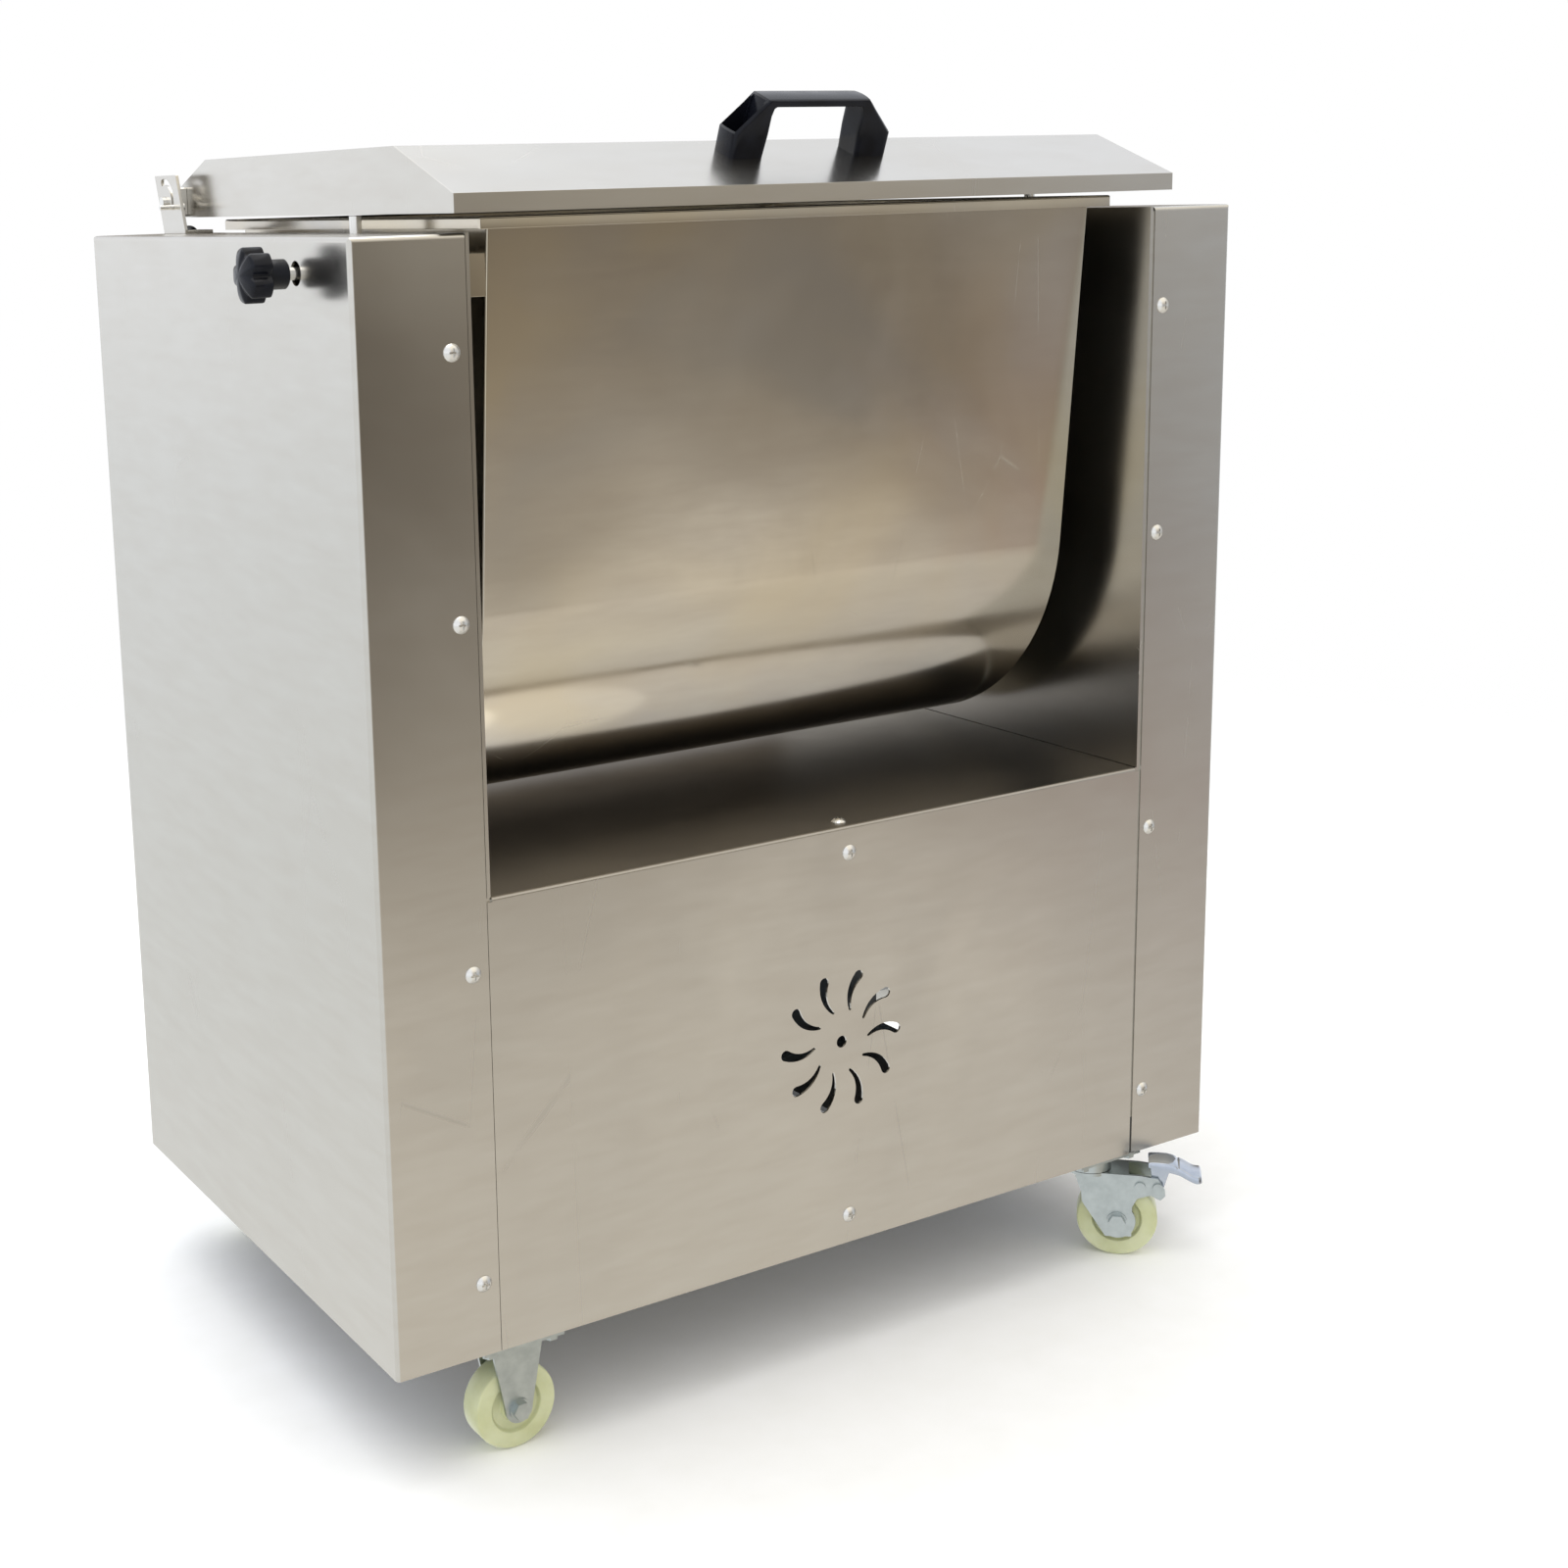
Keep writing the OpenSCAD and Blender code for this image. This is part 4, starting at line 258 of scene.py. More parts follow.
finish = {
    "satinStainless": satinSheet("satinStainless304", sheetLook),
    "tankStainless": satinSheet("polishedStainless304", tankLook),
    "deckStainless": satinSheet("scuffedShadedStainless304", deckLook),
    "turnedStainless": turned("turnedStainlessBar", {"colour": "#DAD8D3", "ringMm": 0.8, "bands": 3,
                              "smooth": 0.16, "rough": 0.3}),
    "zinc": plated("brightZincPlate", platedLook),
    "chrome": plated("chromePlate", chromeLook),
    "blackBolt": plated("blackOxideSteel", blackLook),
    "castIron": painted("oiledCastIron", dict(paintLook, colour="#4A4B4D", dust="#5E5C58",
                        peelMm=1.5, peelDepth=0.5, smooth=0.42, rough=0.6)),
    "framePaint": painted("greyStovedPaint", dict(paintLook, colour="#55575A", dust="#6A6863",
                          peelMm=1.8, peelDepth=0.2, smooth=0.35, rough=0.5)),
    "motorPaint": painted("blueGreyMotorPaint", dict(paintLook, colour="#667078", dust="#7C7F80",
                          peelMm=2.5, peelDepth=0.3, smooth=0.3, rough=0.45)),
    "phenolic": moulded("blackPhenolic", {"colour": "#101116", "bloom": "#16181F", "cloudMm": 12,
                        "skinMm": 0.9, "skinDepth": 0.1, "smooth": 0.16, "rough": 0.25, "ior": 1.5,
                        "gloss": 0.16}),
    "blackNylon": moulded("blackGlassFilledNylon", {"colour": "#1B1B1D", "bloom": "#262628",
                          "cloudMm": 10, "skinMm": 0.6, "skinDepth": 0.3, "smooth": 0.4, "rough": 0.55,
                          "ior": 1.53}),
    "acetal": moulded("whiteAcetal", {"colour": "#E4E3DC", "bloom": "#D8D7CF", "cloudMm": 10,
                      "skinMm": 0.8, "skinDepth": 0.1, "smooth": 0.3, "rough": 0.4, "ior": 1.48,
                      "glow": 0.1}),
    "castNylon": moulded("naturalCastNylon", {"colour": "#CFD2AB", "bloom": "#C1C496", "cloudMm": 22,
                         "skinMm": 1.2, "skinDepth": 0.2, "smooth": 0.35, "rough": 0.5, "ior": 1.53,
                         "glow": 0.25, "glowReach": (1, 0.9, 0.4)}),
    "beltRubber": moulded("rubberBelt", {"colour": "#1C1C1C", "bloom": "#2B2A28", "cloudMm": 15,
                          "skinMm": 0.5, "skinDepth": 0.6, "smooth": 0.6, "rough": 0.8, "ior": 1.52}),
    "greenButton": moulded("greenPolycarbonate", dict(buttonLook, colour="#1B8A3E", bloom="#22783C")),
    "whiteButton": moulded("whitePolycarbonate", dict(buttonLook, colour="#E3E3E0", bloom="#D6D6D2")),
    "redButton": moulded("redPolycarbonate", dict(buttonLook, colour="#C21E16", bloom="#A81C16")),
}
nodeFinish = {
    "satinStainless": ["left_inner_wall", "right_inner_wall", "left_cover", "right_cover",
                       "deck_rails", "rear_panel", "hinge_plates", "lid_shell",
                       "switch_plate", "hinge_arms"],
    "tankStainless": ["tank_shell", "lock_block"],
    "deckStainless": ["deck_apron"],
    "turnedStainless": ["trunnions", "mixing_shaft", "paddles", "countershaft", "motor_shaft",
                        "lid_rod", "lock_rod", "lid_plunger", "lid_rest_peg", "shaft_gear", "pinion",
                        "cover_screws", "panel_screws", "handle_screws"],
    "zinc": ["bearing_bolts", "rigid_forks", "rigid_axles", "swivel_plates", "caster_bolts",
             "front_swivel_fork", "rear_swivel_fork"],
    "chrome": ["front_brake_pedal", "rear_brake_pedal"],
    "blackBolt": ["hinge_foot_bolts"],
    "castIron": ["tank_bearings", "countershaft_bearings", "large_pulley", "motor_pulley"],
    "framePaint": ["base_frame", "motor_plate", "control_box"],
    "motorPaint": ["motor_housing", "fan_cowl"],
    "phenolic": ["lid_handle", "lock_knob"],
    "blackNylon": ["cable_gland", "motor_fan"],
    "acetal": ["guide_bushes", "shaft_seals"],
    "castNylon": ["front_left_wheel", "rear_left_wheel", "front_right_wheel", "rear_right_wheel"],
    "beltRubber": ["drive_belt"],
    "greenButton": ["start_button"],
    "whiteButton": ["reverse_button"],
    "redButton": ["stop_button"],
}
for finishName, members in nodeFinish.items():
    for member in members:
        slots = nodes[member].data.materials
        if not len(slots):
            slots.append(None)
        for index in range(len(slots)):
            slots[index] = finish[finishName]
unfinished = set(nodes) - {member for members in nodeFinish.values() for member in members}
print("materials made; nodes without a finish:", sorted(unfinished))


# Pieces

merge = 0.005 * mm      # points closer than this are one


def loopOf(shape, points):
    # A ring of edges through the points, started from a circle
    ring = bmesh.ops.create_circle(shape, segments=len(points), radius=1)["verts"]
    for vert, point in zip(ring, points):
        vert.co = point
    return ring


def ringEdges(ring):
    # In the ring's own order, so that each run gives the same faces
    inside = set(ring)
    near = dict.fromkeys(edge for vert in ring for edge in vert.link_edges)
    return [edge for edge in near if set(edge.verts) <= inside]


def bridgeRings(shape, rings):
    for first, second in zip(rings, rings[1:]):
        bmesh.ops.bridge_loops(shape, edges=ringEdges(first) + ringEdges(second))


def capRing(shape, ring):
    bmesh.ops.contextual_create(shape, geom=ringEdges(ring))


def finishPiece(shape, name, body, finishName, replaced, place):
    bmesh.ops.remove_doubles(shape, verts=shape.verts, dist=merge)
    bmesh.ops.transform(shape, matrix=place, verts=shape.verts)
    bmesh.ops.recalc_face_normals(shape, faces=shape.faces)
    for face in shape.faces:
        face.smooth = True
    mesh = bpy.data.meshes.new(name)
    shape.to_mesh(mesh)
    shape.free()
    mesh.materials.append(finish[finishName])
    piece = bpy.data.objects.new(name, mesh)
    bpy.context.scene.collection.objects.link(piece)
    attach(piece, body)
    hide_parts(*replaced)
    return piece


def roundEdges(piece, width, segments, angle):
    bevel = piece.modifiers.new("roundedEdges", "BEVEL")
    bevel.width, bevel.segments, bevel.limit_method = width * mm, segments, "ANGLE"
    bevel.angle_limit = math.radians(angle)
    bevel.harden_normals = True


# Lengths in millimetres and turns in degrees, here and in the other pieces. "rounding" is the width,
# the segments and the least angle of the rounded edges.
handle = {"centre": (1.5, -173.9, 836.15), "slope": 21.14, "half": 62, "height": 38, "depth": 21,
          "gripFoot": 37.5, "gripTop": 35, "bar": 4.5, "shoulder": 16, "topHalf": 40,
          "legRounds": (1.8, 2.2), "barRounds": (1.4, 1.4), "crown": 1.3, "around": 72,
          # From the leg into the bar: the inner point from the grip's corner, the outer point's
          # share of the sloping shoulder, and the rounds inside and outside
          "elbow": [((1.5, -6), 0.7, (1.26, 2.2)), ((0.3, -1.2), 0.93, (1.4, 1.4)),
                    ((-1.4, 0), 1, (1.4, 1.4))],
          "barFrom": (5, 6), "wall": 1.7, "pocketFloor": 6, "pocketStep": 2.4, "pocketTilt": 0.4,
          "pocketEdge": 1.1, "rounding": (0.35, 2, 38)}


def handleSection(look, inner, outer, rounds):
    # A rounded rectangle from an inner to an outer point of the bridge, crowned outside
    inner, outer = Vector(inner), Vector(outer)
    middle, reach = (inner + outer) / 2, (outer - inner) / 2
    halves = (reach.length, look["depth"] / 2)
    points = []
    for k in range(look["around"]):
        turn = 2 * math.pi * k / look["around"]
        ray = (math.cos(turn), math.sin(turn))
        size = max(abs(ray[0]), abs(ray[1]))
        flat = [ray[0] / size * halves[0], ray[1] / size * halves[1]]
        curve = min(rounds[1] if ray[0] > 0 else rounds[0], halves[0])
        core = [max(-(h - curve), min(h - curve, c)) for h, c in zip(halves, flat)]
        over = Vector((flat[0] - core[0], flat[1] - core[1]))
        if over.length > 0:
            over = over.normalized() * curve
        along, across = core[0] + over.x, core[1] + over.y
        if along > 0:
            along += look["crown"] * (1 - (across / halves[1]) ** 2) * along / halves[0]
        spot = middle + reach.normalized() * along
        points.append(Vector((spot.x, across, spot.y)) * mm)
    return points


def bridgeHandle(look):
    lean = (look["gripFoot"] - look["gripTop"]) / (look["height"] - look["bar"])
    under, top = look["height"] - look["bar"], look["height"]

    def slope(share):
        return (look["half"] + (look["topHalf"] - look["half"]) * share,
                look["shoulder"] + (top - look["shoulder"]) * share)

    half = [((look["gripFoot"], 0), (look["half"], 0), look["legRounds"]),
            ((look["gripFoot"] - lean * look["shoulder"], look["shoulder"]), slope(0),
             look["legRounds"])]
    for (aside, up), share, rounds in look["elbow"]:
        half.append(((look["gripTop"] + aside, under + up), slope(share), rounds))
    innerFrom, outerFrom = look["barFrom"]
    half.append(((look["gripTop"] - innerFrom, under), (look["topHalf"] - outerFrom, top),
                 look["barRounds"]))
    mirrored = [((-inner[0], inner[1]), (-outer[0], outer[1]), rounds)
                for inner, outer, rounds in reversed(half)]
    shape = bmesh.new()
    rings = [loopOf(shape, handleSection(look, *station)) for station in half + mirrored]
    bridgeRings(shape, rings)
    capRing(shape, rings[0])
    capRing(shape, rings[-1])
    bmesh.ops.recalc_face_normals(shape, faces=shape.faces)
    shape.normal_update()
    # The pockets go down from the sloping shoulders, whose faces look out by more than pocketTilt
    for side in (-1, 1):
        def onSlope(face):
            centre = face.calc_center_median() / mm
            return (side * centre.x > look["topHalf"] and centre.z > look["shoulder"]
                    and side * face.normal.x > look["pocketTilt"]
                    and abs(centre.y) < look["depth"] / 2 - look["pocketEdge"])
        mouth = [face for face in shape.faces if onSlope(face)]
        bmesh.ops.inset_region(shape, faces=mouth, thickness=look["wall"] * mm, use_even_offset=True)
        deeper = bmesh.ops.extrude_face_region(shape, geom=mouth)["geom"]
        bmesh.ops.delete(shape, geom=mouth, context="FACES_ONLY")
        for vert in (v for v in deeper if isinstance(v, bmesh.types.BMVert)):
            share = 1 - (vert.co.z / mm - look["shoulder"]) / (top - look["shoulder"])
            vert.co.x += side * look["pocketStep"] * (1 - share) * mm
            vert.co.z = look["pocketFloor"] * mm
    place = (Matrix.Translation(Vector(look["centre"]) * mm)
             @ Matrix.Rotation(math.radians(look["slope"]), 4, "X"))
    piece = finishPiece(shape, "bridge_handle", "lid", "phenolic", ["lid_handle"],
                        place)
    roundEdges(piece, *look["rounding"])


# The valleys between the lobes are as deep as "valley", over a share of the turn from lobe to lobe.
# Each "ease" is a step along and a step in, where an edge is rounded.
knob = {"place": (-357, -144, 771.5), "hubRadius": 9, "hubLength": 13.5, "hubRound": 0.8,
        "neckAlong": 0.6, "starLength": 13, "lobes": 5, "lobeRadius": 16.7, "valley": 4.6,
        "valleyShare": 0.64, "phase": 18, "backRound": 1.2, "backEase": 0.35, "backValley": 0.9,
        "faceRound": 0.9, "faceEase": (0.25, 0.3), "dome": 3.5, "domeIn": 0.6, "domeSteps": 8,
        "domeTip": 0.1, "around": 120}


def lobedKnob(look):
    def ring(x, radius, lobed):
        points = []
        for k in range(look["around"]):
            turn = 2 * math.pi * k / look["around"]
            phase = ((math.degrees(turn) - look["phase"]) * look["lobes"] / 360) % 1
            away = abs(phase - 0.5) * 2          # 1 at the middle of a lobe, 0 in a valley
            dip = max(0, 1 - away / look["valleyShare"])
            dip = dip * dip * (3 - 2 * dip)      # eased like a smooth step
            r = radius - look["valley"] * lobed * dip
            points.append(Vector((-x, r * math.sin(turn), r * math.cos(turn))) * mm)
        return loopOf(shape, points)

    shape = bmesh.new()
    back = look["hubLength"]
    front = back + look["starLength"]
    hub, full = look["hubRadius"], look["lobeRadius"]
    backEase, (alongEase, inEase) = look["backEase"], look["faceEase"]
    stations = [(0, hub - look["hubRound"], 0), (look["hubRound"], hub, 0),
                (back - look["neckAlong"], hub, 0), (back, hub + look["neckAlong"], 0),
                (back, full - look["backRound"], look["backValley"]),
                (back + backEase, full - backEase, 1), (back + look["backRound"], full, 1),
                (front - look["faceRound"], full, 1), (front - alongEase, full - inEase, 1)]
    for step in range(1, look["domeSteps"]):
        outward = 1 - step / look["domeSteps"]
        stations.append((front + look["dome"] * (1 - outward ** 2),
                         (full - look["domeIn"]) * outward + look["domeTip"], outward))
    rings = [ring(*station) for station in stations]
    bridgeRings(shape, rings)
    capRing(shape, rings[0])
    capRing(shape, rings[-1])
    place = Matrix.Translation(Vector(look["place"]) * mm)
    finishPiece(shape, "lobed_knob", "lock", "phenolic", ["lock_knob"], place)


# Where the casters stand, and how far a swivel caster's axle trails behind its post
caster = {"x": 257, "y": 194, "trail": 22, "yaw": 43.9}
wheel = {"radius": 30, "width": 20, "edge": 2, "edgeShare": 0.3, "rim": 18.6, "rimSlope": 1.5, "hub": 10,
         "hubSlope": 1, "dish": 3, "bore": 4.05, "steps": 72, "rounding": (0.7, 3, 30)}


def casterWheel(look, name, x, y, yaw=0):
    half, cut = look["width"] / 2, look["edge"] * look["edgeShare"]
    outline = [(look["bore"], half), (look["hub"], half),
               (look["hub"] + look["hubSlope"], half - look["dish"]),
               (look["rim"] - look["rimSlope"], half - look["dish"]), (look["rim"], half),
               (look["radius"] - look["edge"], half), (look["radius"] - cut, half - cut),
               (look["radius"], half - look["edge"])]
    outline += [(r, -y) for r, y in reversed(outline)]
    shape = bmesh.new()
    verts = [shape.verts.new(Vector((r, y, 0)) * mm) for r, y in outline]
    edges = [shape.edges.new(pair) for pair in zip(verts, verts[1:] + verts[:1])]
    bmesh.ops.spin(shape, geom=verts + edges, cent=(0, 0, 0), axis=(0, 1, 0), angle=2 * math.pi,
                   steps=look["steps"], use_merge=True)
    place = (Matrix.Translation(Vector((x, y, look["radius"])) * mm)
             @ Matrix.Rotation(math.radians(yaw), 4, "Z"))
    piece = finishPiece(shape, name + "_tyre", nodeBody[name], "castNylon", [name], place)
    roundEdges(piece, *look["rounding"])


# In the caster's own axes: forward of its post, and up from the floor
pedal = {"sheet": 2, "edge": 3.2, "squareness": 0.45, "around": 9, "lug": (8.6, 11),
         "pivot": (51.7, 59.2), "lugRadius": 4.4, "lugArc": (200, 340), "lugSteps": 16,
         "lugTop": [(60.7, 74.5), (45.6, 76.5)], "rounding": (0.4, 2, 40),
         # Forward, height of the crown, half width, depth of the skirt: heel, groove, tread and toe
         "stations": [
             (44.3, 78.4, 10.7, 4.5), (46.5, 79, 10.9, 6), (52, 79.2, 11, 7.5), (58, 79.1, 11.1, 8),
             (62, 78.3, 11.2, 7.8), (64.6, 77.4, 11.3, 7.4), (65.4, 76.5, 11.1, 6.8),
             (66.4, 76, 11.1, 6.6), (67.2, 76.3, 11.4, 6.9), (71, 74.4, 11.8, 6.8), (75, 72, 12.1, 6.4),
             (78, 70.6, 12.3, 6.2), (80.4, 70.4, 12.4, 6.4), (82.2, 70.4, 12.1, 6.2),
             (83.2, 69.4, 11.3, 5), (83.7, 67.6, 10.2, 2.6)]}


def chromePedal(look, name, side):
    def section(forward, crown, half, skirt):
        # An upturned trough: outside over the top, and back inside
        outer = [(-half, -skirt)]
        for k in range(look["around"] + 1):
            turn = math.pi * k / look["around"]
            outer.append((-math.cos(turn) * half,
                          (math.sin(turn) ** look["squareness"] - 1) * look["edge"]))
        outer.append((half, -skirt))
        shrink = 1 - look["sheet"] / half
        inner = [(y * shrink, max(-skirt, z - look["sheet"]) if abs(y) < half else -skirt)
                 for y, z in reversed(outer)]
        return loopOf(shape, [Vector((forward, y, crown + z)) * mm for y, z in outer + inner])

    shape = bmesh.new()
    rings = [section(*station) for station in look["stations"]]
    bridgeRings(shape, rings)
    capRing(shape, rings[0])
    capRing(shape, rings[-1])
    # A lug on each flank takes the rivet
    begin, end = look["lugArc"]
    (x, z), reach = look["pivot"], look["lugRadius"]
    turns = [math.radians(begin + (end - begin) * k / look["lugSteps"])
             for k in range(look["lugSteps"] + 1)]
    outline = [(x + reach * math.cos(t), z + reach * math.sin(t)) for t in turns] + look["lugTop"]
    for flank in (-1, 1):
        plates = [loopOf(shape, [Vector((px, flank * y, pz)) * mm for px, pz in outline])
                  for y in look["lug"]]
        bridgeRings(shape, plates)
        for plate in plates:
            capRing(shape, plate)
    place = (Matrix.Translation(Vector((caster["x"], side * caster["y"], 0)) * mm)
             @ Matrix.Rotation(math.radians(side * caster["yaw"]), 4, "Z"))
    piece = finishPiece(shape, name + "_tread", nodeBody[name], "chrome", [name], place)
    roundEdges(piece, *look["rounding"])


# A folded sheet's points are merged within "merge" millimetres. Faces within "flat" degrees are one,
# edges over "sharp" degrees are rounded, and a face over "broad" fold radii wide is no rim.
press = {"merge": 0.01, "flat": 0.6, "sharp": 18, "broad": 4, "segments": 3}
# Fold radius, rim radius and finish of each sheet piece
folds = {
    "lid_shell": (2.2, 0.3, "satinStainless"), "tank_shell": (1.6, 0.35, "tankStainless"),
    "hinge_plates": (0.8, 0.3, "satinStainless"), "rigid_forks": (0.7, 0.3, "zinc"),
    "front_swivel_fork": (0.7, 0.3, "zinc"), "rear_swivel_fork": (0.7, 0.3, "zinc"),
    "lock_block": (0.8, 0.8, "tankStainless"), "hinge_arms": (0.6, 0.6, "satinStainless"),
}


def sheetCopy(look, name, bend, rim, finishName):
    # A node's own mesh with its folds and rims rounded as a press leaves them
    shape = bmesh.new()
    shape.from_mesh(nodes[name].data)
    bmesh.ops.remove_doubles(shape, verts=shape.verts, dist=look["merge"] * mm)
    bmesh.ops.dissolve_limit(shape, angle_limit=math.radians(look["flat"]), verts=shape.verts,
                             edges=shape.edges, delimit={"NORMAL"})
    shape.normal_update()
    weight = shape.edges.layers.float.new("bevel_weight_edge")
    for edge in shape.edges:
        if len(edge.link_faces) == 2 and edge.calc_face_angle(0) > math.radians(look["sharp"]):
            # A fold has a broad face on each side, a rim has the sheet's narrow edge
            width = min(face.calc_area() for face in edge.link_faces) / edge.calc_length()
            edge[weight] = 1 if width > look["broad"] * bend * mm else rim / bend
    for face in shape.faces:
        face.smooth = True
    mesh = bpy.data.meshes.new(name + "_pressed")
    shape.to_mesh(mesh)
    shape.free()
    mesh.materials.append(finish[finishName])
    piece = bpy.data.objects.new(name + "_pressed", mesh)
    bpy.context.scene.collection.objects.link(piece)
    bevel = piece.modifiers.new("pressedEdges", "BEVEL")
    bevel.width, bevel.segments, bevel.limit_method = bend * mm, look["segments"], "WEIGHT"
    normals = piece.modifiers.new("flatFaces", "WEIGHTED_NORMAL")
    normals.weight, normals.keep_sharp = 100, False
    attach(piece, nodeBody[name])
    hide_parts(name)
    print(name, "folds rounded,", len(mesh.polygons), "faces")


bridgeHandle(handle)
lobedKnob(knob)
ends = {"front": -1, "rear": 1}      # which way each end lies along Y
yaw = math.radians(caster["yaw"])
for end, side in ends.items():
    casterWheel(wheel, end + "_left_wheel", -caster["x"], side * caster["y"])
for end, side in ends.items():
    casterWheel(wheel, end + "_right_wheel", caster["x"] + caster["trail"] * math.cos(yaw),
                side * (caster["y"] + caster["trail"] * math.sin(yaw)), side * caster["yaw"])
for end, side in ends.items():
    chromePedal(pedal, end + "_brake_pedal", side)
print("handle, knob, wheels and pedals made")
for name, (bend, rim, finishName) in folds.items():
    sheetCopy(press, name, bend, rim, finishName)


# Studio

studio = {
    "paper": "#FFFFFF", "floorColour": "#F6F6F4", "fibreMm": 30, "strength": 1.5,
    # In metres: half the floor's side, and where it starts and ends to fade
    "floorHalf": 2.4, "floorClear": (1.0, 2.2),
    # What lights and mirrors in the metal: elevation in degrees, then the room's colour there
    "around": [(-90, "#CFCFCC"), (-30, "#DADBDB"), (-17, "#D3D6D8"), (-7, "#D9DDE2"), (2, "#EBEEF4"),
               (28, "#DCDFE6"), (40, "#E4E7EC"), (90, "#F4F4F4")],
    # Sectors of the room between two azimuths, and how far their sides blend
    "sectors": [
        {"from": -8, "to": 90, "soft": 9, "stops": [
            (-90, "#B4B0A9"), (-62, "#C4C0B8"), (-42, "#D2CFC7"), (-28, "#CBC6BD"), (-21, "#CFCAC1"),
            (-18.5, "#C9C3B9"), (-16.5, "#A29A8F"), (-13, "#8C847A"), (-8, "#7A7369"),
            (-2, "#80786E"), (1, "#B3AEA3"), (15, "#B2ACA4"), (42, "#F2ECDF")]},
        {"from": 44.5, "to": 80, "soft": 4, "stops": [
            (-90, "#B4B2AE"), (-42, "#C4C1BC"), (-28, "#BFBAB4"), (-20, "#BAB7B3"), (-8, "#ABAFB5"),
            (2, "#B0B4BB"), (20, "#BDBDBD"), (42, "#F2EEE6")]},
    ],
    # Azimuth and elevation of the middle, half sizes, softness, colour
    "cards": [
        {"at": (19, -5), "half": (8, 12), "soft": 0.35, "colour": "#4C463E"},
        {"at": (44.5, -14), "half": (2.6, 4), "soft": 0.8, "colour": "#977E79"},
        {"at": (40, -12), "half": (3.5, 5), "soft": 0.8, "colour": "#7B746A"},
        {"at": (37.5, -17.8), "half": (5, 2), "soft": 0.8, "colour": "#E6E1D8"},
        {"at": (30, -16.8), "half": (3.5, 2), "soft": 0.8, "colour": "#979085"},
        {"at": (152, 6), "half": (30, 13), "soft": 0.5, "colour": "#6E675E"},
    ],
    # Softboxes: place, what they point at, sides, power, spread in degrees. The three low ones lie
    # on the deck, unseen, and light the belly of the tank.
    "lamps": {
        "topSoftbox": ((-0.4, 0.2, 2.2), (0, 0, 0.5), (2.4, 2.4), 22, 180),
        "deckGlow": ((-0.03, -0.157, 0.3875), (-0.03, -0.157, 1), (0.62, 0.1), 0.062, 125),
        "deckGlowLeft": ((-0.2, -0.157, 0.388), (-0.2, -0.157, 1), (0.3, 0.1), 0.009, 125),
        "deckGlowEnd": ((-0.24, -0.165, 0.3885), (-0.24, -0.165, 1), (0.13, 0.07), 0.006, 125),
    },
}


def elevationRamp(tree, elevation, stops):
    share = addNode(tree, "ShaderNodeMapRange", {"From Min": -90, "From Max": 90},
                    {"Value": elevation}).outputs[0]
    places = [((rise + 90) / 180, srgb(colour)) for rise, colour in stops]
    return addNode(tree, "ShaderNodeValToRGB", {"stops": places}, {"Fac": share}).outputs[0]


softEdge = {"interpolation_type": "SMOOTHSTEP"}


def studioWorld(look):
    world = bpy.data.worlds.new("studioRoom")
    world.use_nodes = True
    tree = world.node_tree
    tree.nodes.clear()
    direction = addNode(tree, "ShaderNodeTexCoord").outputs["Generated"]
    parts = addNode(tree, "ShaderNodeSeparateXYZ", None, {0: direction}).outputs
    ahead = addNode(tree, "ShaderNodeMath", {"operation": "MULTIPLY", 1: -1}, {0: parts[1]}).outputs[0]
    turn = addNode(tree, "ShaderNodeMath", {"operation": "ARCTAN2"}, {0: parts[0], 1: ahead}).outputs[0]
    azimuth = addNode(tree, "ShaderNodeMath", {"operation": "DEGREES"}, {0: turn}).outputs[0]
    rise = addNode(tree, "ShaderNodeMath", {"operation": "ARCSINE"}, {0: parts[2]}).outputs[0]
    elevation = addNode(tree, "ShaderNodeMath", {"operation": "DEGREES"}, {0: rise}).outputs[0]
    colour = elevationRamp(tree, elevation, look["around"])
    for sector in look["sectors"]:
        edges = []
        for middle, soft in ((sector["from"], sector["soft"]), (sector["to"], -sector["soft"])):
            edges.append(addNode(tree, "ShaderNodeMapRange", softEdge | {"From Min": middle - soft,
                         "From Max": middle + soft}, {"Value": azimuth}).outputs[0])
        share = addNode(tree, "ShaderNodeMath", {"operation": "MULTIPLY"},
                        {0: edges[0], 1: edges[1]}).outputs[0]
        inside = elevationRamp(tree, elevation, sector["stops"])
        colour = addNode(tree, "ShaderNodeMix", {"data_type": "RGBA"},
                         {0: share, 6: colour, 7: inside}).outputs[2]
    for card in look["cards"]:
        offsets = []
        for angle, middle, half in zip((azimuth, elevation), card["at"], card["half"]):
            offsets.append(addNode(tree, "ShaderNodeMapRange", {"clamp": False, "From Min": middle,
                           "From Max": middle + half}, {"Value": angle}).outputs[0])
        away = addNode(tree, "ShaderNodeCombineXYZ", None, {0: offsets[0], 1: offsets[1]}).outputs[0]
        far = addNode(tree, "ShaderNodeVectorMath", {"operation": "LENGTH"}, {0: away}).outputs["Value"]
        share = addNode(tree, "ShaderNodeMapRange", softEdge | {"From Min": 1 + card["soft"],
                        "From Max": 1 - card["soft"]}, {"Value": far}).outputs[0]
        colour = addNode(tree, "ShaderNodeMix", {"data_type": "RGBA", 7: srgb(card["colour"])},
                         {0: share, 6: colour}).outputs[2]
    room = addNode(tree, "ShaderNodeBackground", {"Strength": look["strength"]}, {"Color": colour})
    paper = addNode(tree, "ShaderNodeBackground", {"Color": srgb(look["paper"]), "Strength": 1})
    seen = addNode(tree, "ShaderNodeLightPath").outputs["Is Camera Ray"]
    mixed = addNode(tree, "ShaderNodeMixShader", None,
                    {0: seen, 1: room.outputs[0], 2: paper.outputs[0]})
    addNode(tree, "ShaderNodeOutputWorld", None, {"Surface": mixed.outputs[0]})
    bpy.context.scene.world = world


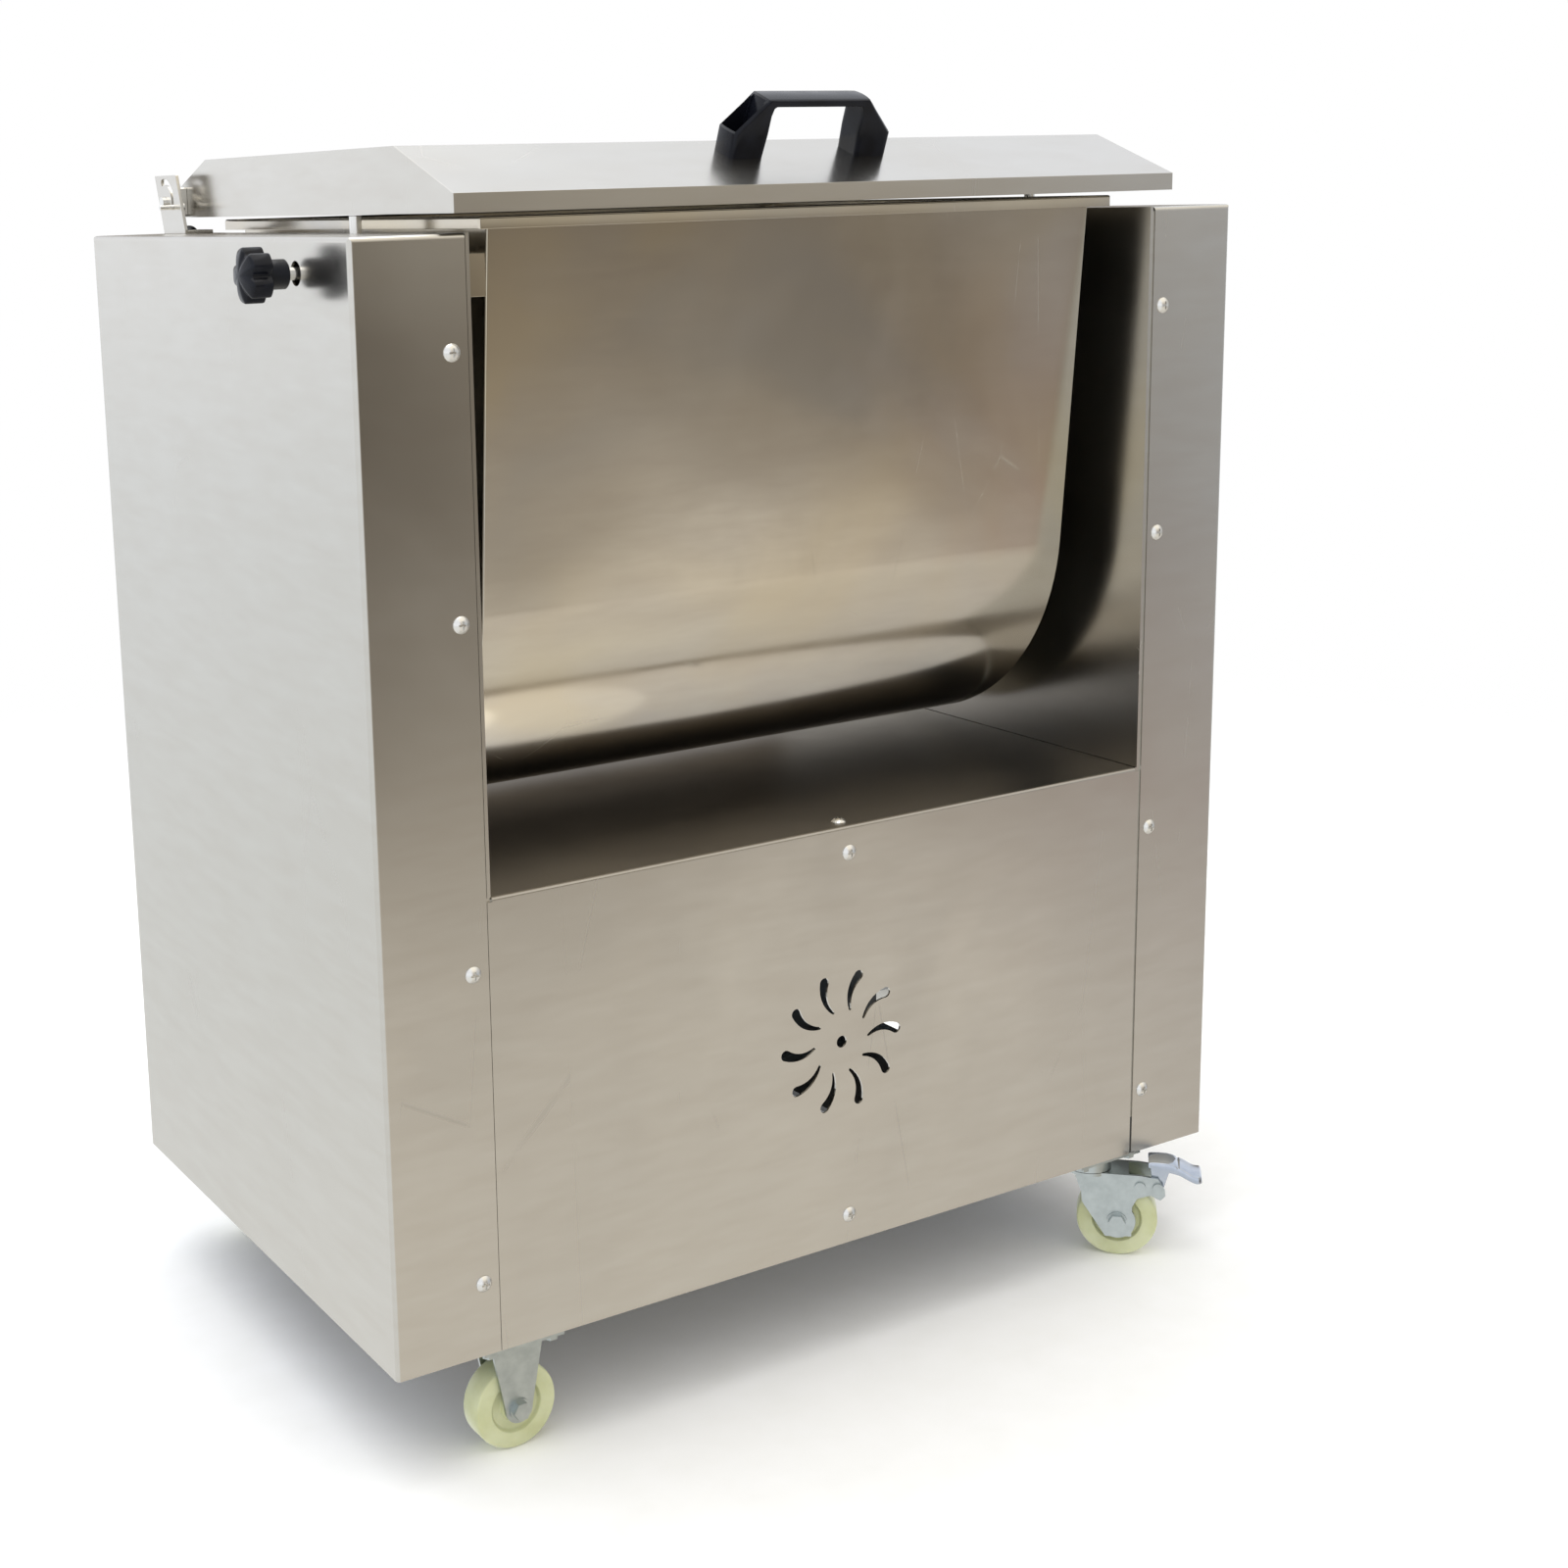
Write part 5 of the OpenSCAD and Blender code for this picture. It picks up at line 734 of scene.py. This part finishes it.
def studioFloor(look):
    shape = bmesh.new()
    bmesh.ops.create_grid(shape, x_segments=1, y_segments=1, size=look["floorHalf"])
    mesh = bpy.data.meshes.new("studioFloor")
    shape.to_mesh(mesh)
    shape.free()
    floor = bpy.data.objects.new("studioFloor", mesh)
    bpy.context.scene.collection.objects.link(floor)
    # Matt white paper, with a trace of fibre, fading into the white round it
    material, tree, shader, place = newMaterial("whitePaper", {"Roughness": 0.9, "IOR": 1.4})
    fibre = addNode(tree, "ShaderNodeTexNoise", {"Scale": perMetre(look["fibreMm"]), "Detail": 3},
                    {"Vector": place}).outputs[0]
    tint = addNode(tree, "ShaderNodeMix", {"data_type": "RGBA", 6: srgb(look["floorColour"]),
                   7: srgb(look["paper"])}, {0: fibre}).outputs[2]
    far = addNode(tree, "ShaderNodeVectorMath", {"operation": "LENGTH"}, {0: place}).outputs["Value"]
    near, end = look["floorClear"]
    clear = addNode(tree, "ShaderNodeMapRange", softEdge | {"From Min": end, "From Max": near},
                    {"Value": far}).outputs[0]
    tree.links.new(clear, shader.inputs["Alpha"])
    tree.links.new(tint, shader.inputs["Base Color"])
    mesh.materials.append(material)
    floor.visible_glossy = False


def studioLamp(name, place, target, sides, power, spread):
    light = bpy.data.lights.new(name, "AREA")
    light.shape, light.size, light.size_y = "ELLIPSE", *sides
    light.energy, light.spread = power, math.radians(spread)
    lamp = bpy.data.objects.new(name, light)
    lamp.location = place
    lamp.rotation_mode = "QUATERNION"
    lamp.rotation_quaternion = (Vector(place) - Vector(target)).to_track_quat("Z", "Y")
    bpy.context.scene.collection.objects.link(lamp)


studioWorld(studio)
studioFloor(studio)
for name, lamp in studio["lamps"].items():
    studioLamp(name, *lamp)
print("studio built")


# Camera at the photograph's view

view = {"place": (-0.9029, -1.3913, 0.8139), "azimuth": -29.473, "elevation": 11.3, "roll": -1.6605,
        "lens": 51.42, "sensor": 36, "shiftX": 0.1635, "shiftY": -0.0904}


def photoCamera(look):
    turn, rise, roll = (math.radians(look[k]) for k in ("azimuth", "elevation", "roll"))
    back = Vector((math.sin(turn) * math.cos(rise), -math.cos(turn) * math.cos(rise), math.sin(rise)))
    right = (-back).cross(Vector((0, 0, 1))).normalized()
    up = right.cross(-back)
    rolledRight = right * math.cos(roll) + up * math.sin(roll)
    rolledUp = up * math.cos(roll) - right * math.sin(roll)
    lens = bpy.data.cameras.new("photoCamera")
    lens.lens, lens.sensor_width = look["lens"], look["sensor"]
    lens.shift_x, lens.shift_y = look["shiftX"], look["shiftY"]
    camera = bpy.data.objects.new("photoCamera", lens)
    camera.matrix_world = Matrix((rolledRight, rolledUp, back)).transposed().to_4x4()
    camera.location = look["place"]
    bpy.context.scene.collection.objects.link(camera)
    bpy.context.scene.camera = camera


photoCamera(view)
bpy.context.scene.view_settings.view_transform = "Standard"
print("camera placed")
